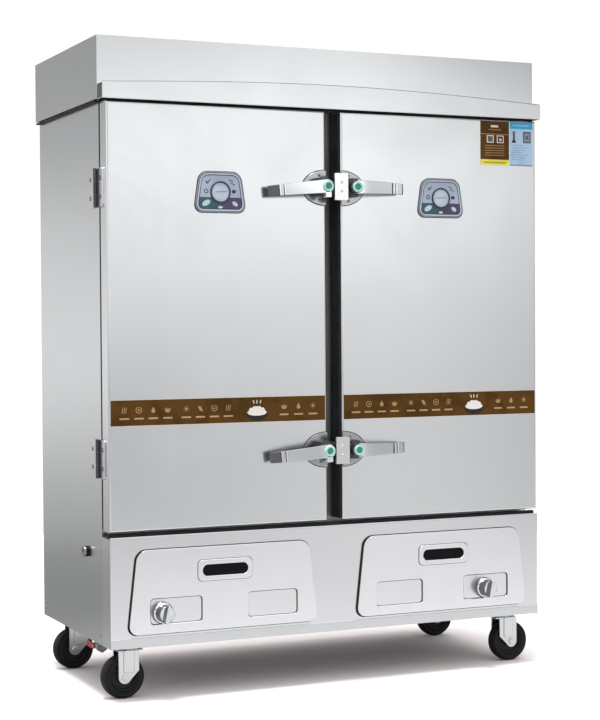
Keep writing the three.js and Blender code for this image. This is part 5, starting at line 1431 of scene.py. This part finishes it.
def card(name, span, paper, prints):
    """Each print is (left, bottom, width, height) as shares of the card, an ink and a layer."""
    left, right = span
    width = right - left
    door_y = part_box("right_door_skin")[0].y
    finishes = list(dict.fromkeys([paper] + [ink for _, ink, _ in prints]))
    shape = bmesh.new()
    middle = ((left + right) / 2, door_y, (CARD_TOP + CARD_BOTTOM) / 2)
    place(shape, panel(width, CARD_HEIGHT, CARD_THICKNESS), middle)
    for (x, y, wide, tall), ink, layer in prints:
        mark = panel(width * wide, CARD_HEIGHT * tall, PRINT * layer)
        mark_z = CARD_BOTTOM + CARD_HEIGHT * (y + tall / 2)
        spot = (left + width * (x + wide / 2), door_y - CARD_THICKNESS, mark_z)
        place(shape, mark, spot, finishes.index(ink))
    return add_piece(name, shape, finishes, "right_door")


lines = [((0.15, 0.22 + LINE_PITCH * i, 0.68, LINE_HEIGHT), "gold_ink", 1) for i in range(5)]
stripes = [((0.08, 0.14 + LINE_PITCH * i, 0.5 + 0.13 * (i % 3), LINE_HEIGHT), "card_line", 1)
           for i in range(7)]
brown_card = card("brown_card", BROWN_CARD, "card_brown", [
    ((0, 0, 1, 0.13), "card_yellow", 1), ((0.10, 0.045, 0.8, 0.035), "card_olive", 2),
    ((0, 0.70, 1, 0.012), "gold_ink", 1), ((0.36, 0.86, 0.26, 0.05), "cream_ink", 1),
    ((0.27, 0.80, 0.46, 0.014), "gold_ink", 1), ((0.22, 0.51, 0.24, 0.17), "cream_ink", 1),
    ((0.25, 0.53, 0.18, 0.13), "card_grey", 2), ((0.57, 0.51, 0.24, 0.17), "cream_ink", 1),
    ((0.60, 0.53, 0.18, 0.13), "card_brown", 2), ((0.65, 0.56, 0.08, 0.05), "cream_ink", 3), *lines])
blue_card = card("blue_card", BLUE_CARD, "card_blue", [
    ((0, 0.85, 1, 0.15), "card_header", 1), ((0.12, 0.905, 0.72, 0.04), "card_shine", 2),
    ((0, 0, 1, 0.035), "card_line", 1), ((0.13, 0.53, 0.10, 0.26), "card_grey", 1),
    ((0.09, 0.53, 0.18, 0.05), "card_grey", 1), ((0.30, 0.60, 0.18, 0.10), "card_mint", 1),
    ((0.58, 0.53, 0.34, 0.26), "card_grey", 1), ((0.64, 0.57, 0.22, 0.18), "card_line", 2),
    ((0.69, 0.61, 0.12, 0.10), "card_grey", 3), *stripes])
for made in (brown_card, blue_card):
    print(made.name, [round(c / MM) for c in made.dimensions], "mm")

# %% [markdown]
# Two latch keepers show in the gap between the doors. The CAD has them as blocks, and the bright
# face with its two rivets goes on top as a thin plate, since only the face is ever seen.

# %% Face the latch keepers
KEEPER_SIZE = (34.6 * MM, 63 * MM)
KEEPER_THICKNESS = 0.8 * MM
KEEPER_CORNER = 2 * MM
KEEPER_RIM = 0.4 * MM
KEEPER_Y = -0.2838
RIVET_SPACING = 21 * MM
RIVET_PROFILE = [(0, 0), (3.4 * MM, 0), (2.72 * MM, 1.05 * MM), (0, 1.5 * MM)]

for level in LEVELS:
    keeper_z = rear_middle(f"left_{level}_latch_plate")[2]
    keeper = bmesh.new()
    face = panel(*KEEPER_SIZE, KEEPER_THICKNESS, radius=KEEPER_CORNER, rim=KEEPER_RIM)
    place(keeper, face, (0, KEEPER_Y, keeper_z))
    for step in (-1, 1):
        spot = (0, KEEPER_Y - KEEPER_THICKNESS, keeper_z + step * RIVET_SPACING / 2)
        place(keeper, turned(RIVET_PROFILE, 24), spot)
    add_piece(f"{level}_keeper_face", keeper, ["fork_steel"], "cabinet")
print("keepers at", [round(rear_middle(f"left_{level}_latch_plate")[2], 3) for level in LEVELS])

# %% [markdown]
# The visor over the doors is a separate bright sheet whose top edge rises in a flat arch. A grey
# sheet just behind it reaches a little higher, and that draws a painted shadow line along the arch.
# The outline is half a cosine wave, which starts and ends softly enough for so flat an arch.

# %% Model the visor's face
VISOR_Y = -0.244
VISOR_LOW = 1.3552
VISOR_END = 36 * MM
VISOR_RISE = 19 * MM
VISOR_SHEET = 0.6 * MM
VISOR_RIM = 0.5 * MM
VISOR_MARGIN = MM
ARCH_STEPS = 32
ARCH_LINE = 1.6 * MM

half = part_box("crown")[1].x - VISOR_MARGIN
shares = [1 - 2 * i / ARCH_STEPS for i in range(ARCH_STEPS + 1)]
arch = [(half * share, VISOR_END + VISOR_RISE * math.cos(math.pi / 2 * share) - VISOR_MARGIN)
        for share in shares]
foot = [(-half, VISOR_MARGIN), (half, VISOR_MARGIN)]
visor = bmesh.new()
# Painted shadow: a grey sheet behind the visor, a little higher, draws the line along the arch.
shadow = slab(foot + [(x, z + ARCH_LINE) for x, z in arch], ARCH_LINE / 5)
place(visor, shadow, (0, VISOR_Y, VISOR_LOW), 1)
sheet = slab(foot + arch, VISOR_SHEET, rim=VISOR_RIM)
place(visor, sheet, (0, VISOR_Y, VISOR_LOW))
add_piece("visor_face", visor, ["visor_steel", "grey_steel"], "cabinet")
print("visor", round(2 * half, 3), "m wide")

# %% [markdown]
# The water inlet ends in a threaded ring on the left side, with its bore painted dark as the shade
# inside it and a dark washer behind it. Two screws hold each side panel to the chassis. All of them
# are turned shapes set on the panels' faces.

# %% Add the water fitting and the screws in the sides
FITTING_SPOT = (-0.074, 0.327)
FITTING_RING = (12 * MM, 7.4 * MM, 11.6 * MM, 1.2 * MM, 36)
FITTING_WASHER = (12.4 * MM, 11 * MM, 7 * MM, 0.5 * MM, 36)
FITTING_BORE = (7.6 * MM, 10 * MM, 0.5 * MM)
SIDE_SCREW = (3.4 * MM, 1.4 * MM)
SIDE_SCREW_SPOTS = ((-0.168, 0.146), (0.280, 0.146))

panel_low, panel_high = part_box("left_side_panel")
panel_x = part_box("right_side_panel")[1].x
fitting = bmesh.new()
# Painted shade: the bore is a dark disc.
for part, index in ((ring(*FITTING_RING), 0), (ring(*FITTING_WASHER), 1), (button(*FITTING_BORE), 1)):
    place(fitting, part, (panel_low.x, *FITTING_SPOT), index, OUTWARD["left"])
add_piece("water_fitting_face", fitting, ["grey_steel", "dark_glass"], "cabinet")

screws = bmesh.new()
for side, hand in SIDES.items():
    for spot in SIDE_SCREW_SPOTS:
        place(screws, screw_head(*SIDE_SCREW), (hand * panel_x, *spot), axes=OUTWARD[side])
add_piece("side_screws", screws, ["grey_steel", "dark_steel"], "cabinet")
print("side screws", len(SIDES) * len(SIDE_SCREW_SPOTS))

# %% [markdown]
# A bead of black seal lies under the crown along both sides, and a rubber strip above and below the
# doors closes the gap to the cabinet. Each is partly a real seal and partly painted shadow in its
# joint. They are plain strips with a soft edge, in one piece, because they are all cut from the same
# rubber and none of them moves.

# %% Lay the seals
BEAD_REACH = 10 * MM
BEAD_HEIGHT = 3 * MM
BEAD_RIM = 0.4 * MM
STRIP_DEPTH = 12 * MM
STRIP_RIM = MM
STRIP_MARGIN = 2 * MM
STRIP_Y = -0.214
SILL_HEIGHT = 9 * MM
HEAD_HEIGHT = 5.5 * MM

crown_low, crown_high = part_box("crown")
base_low, base_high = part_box("base_front")
panel_width = 2 * panel_x
seals = bmesh.new()
for side, hand in SIDES.items():
    bead = panel(panel_high.y - panel_low.y, BEAD_HEIGHT, BEAD_REACH, rim=BEAD_RIM)
    spot = (hand * panel_x, (panel_low.y + panel_high.y) / 2, crown_low.z - BEAD_HEIGHT / 2)
    place(seals, bead, spot, axes=OUTWARD[side])
sill_z = base_high.z + SILL_HEIGHT / 2
head_z = crown_low.z - HEAD_HEIGHT / 2
for height, middle_z in ((SILL_HEIGHT, sill_z), (HEAD_HEIGHT, head_z)):
    strip = panel(panel_width - STRIP_MARGIN, height, STRIP_DEPTH, rim=STRIP_RIM)
    place(seals, strip, (0, STRIP_Y, middle_z))
add_piece("seal_and_shadow_trims", seals, ["rubber"], "cabinet")
print("seals", round(panel_width, 3), "m wide")

# %% [markdown]
# Sheet metal ends in folds, because a cut edge is sharp. A bright lip closes the base's top edge, a
# fold stiffens its foot, and the visor's ends turn back, where they lie in its shade. Thin slabs
# stand for them, since each shows one face only.

# %% Fold the edges of the base and the visor
LIP_HEIGHT = 3.5 * MM
LIP_DEPTH = 2 * MM
LIP_RIM = MM
LIP_Y = -0.2395
END_WIDTH = 33 * MM
END_THICKNESS = 0.5 * MM
END_SHORTER = 4 * MM
END_SUNK = 0.2 * MM
END_BEHIND = MM
FOLD_HEIGHT = 22 * MM
FOLD_RISE = 0.8 * MM
FOLD_RIM = FOLD_RISE * 0.8

lip = bmesh.new()
lip_strip = panel(panel_width, LIP_HEIGHT, LIP_DEPTH, rim=LIP_RIM)
place(lip, lip_strip, (0, LIP_Y, base_high.z + LIP_HEIGHT / 2))
add_piece("base_lip", lip, ["front_steel"], "cabinet")

# Painted shade: the visor's turned-back ends take the dark shade finish.
visor_ends = bmesh.new()
for side, hand in SIDES.items():
    end = panel(END_WIDTH, VISOR_END - END_SHORTER, END_THICKNESS)
    end_y = VISOR_Y + END_WIDTH / 2 + END_BEHIND
    spot = (hand * (crown_high.x - END_SUNK), end_y, VISOR_LOW + VISOR_END / 2)
    place(visor_ends, end, spot, axes=OUTWARD[side])
add_piece("visor_ends", visor_ends, ["shade_steel"], "cabinet")

fold = bmesh.new()
fold_strip = panel(base_high.x - base_low.x, FOLD_HEIGHT, FOLD_RISE, rim=FOLD_RIM)
place(fold, fold_strip, (0, base_low.y, base_low.z + FOLD_HEIGHT / 2))
add_piece("base_fold", fold, ["side_steel"], "cabinet")
print("base", round(base_high.x - base_low.x, 3), "m wide")
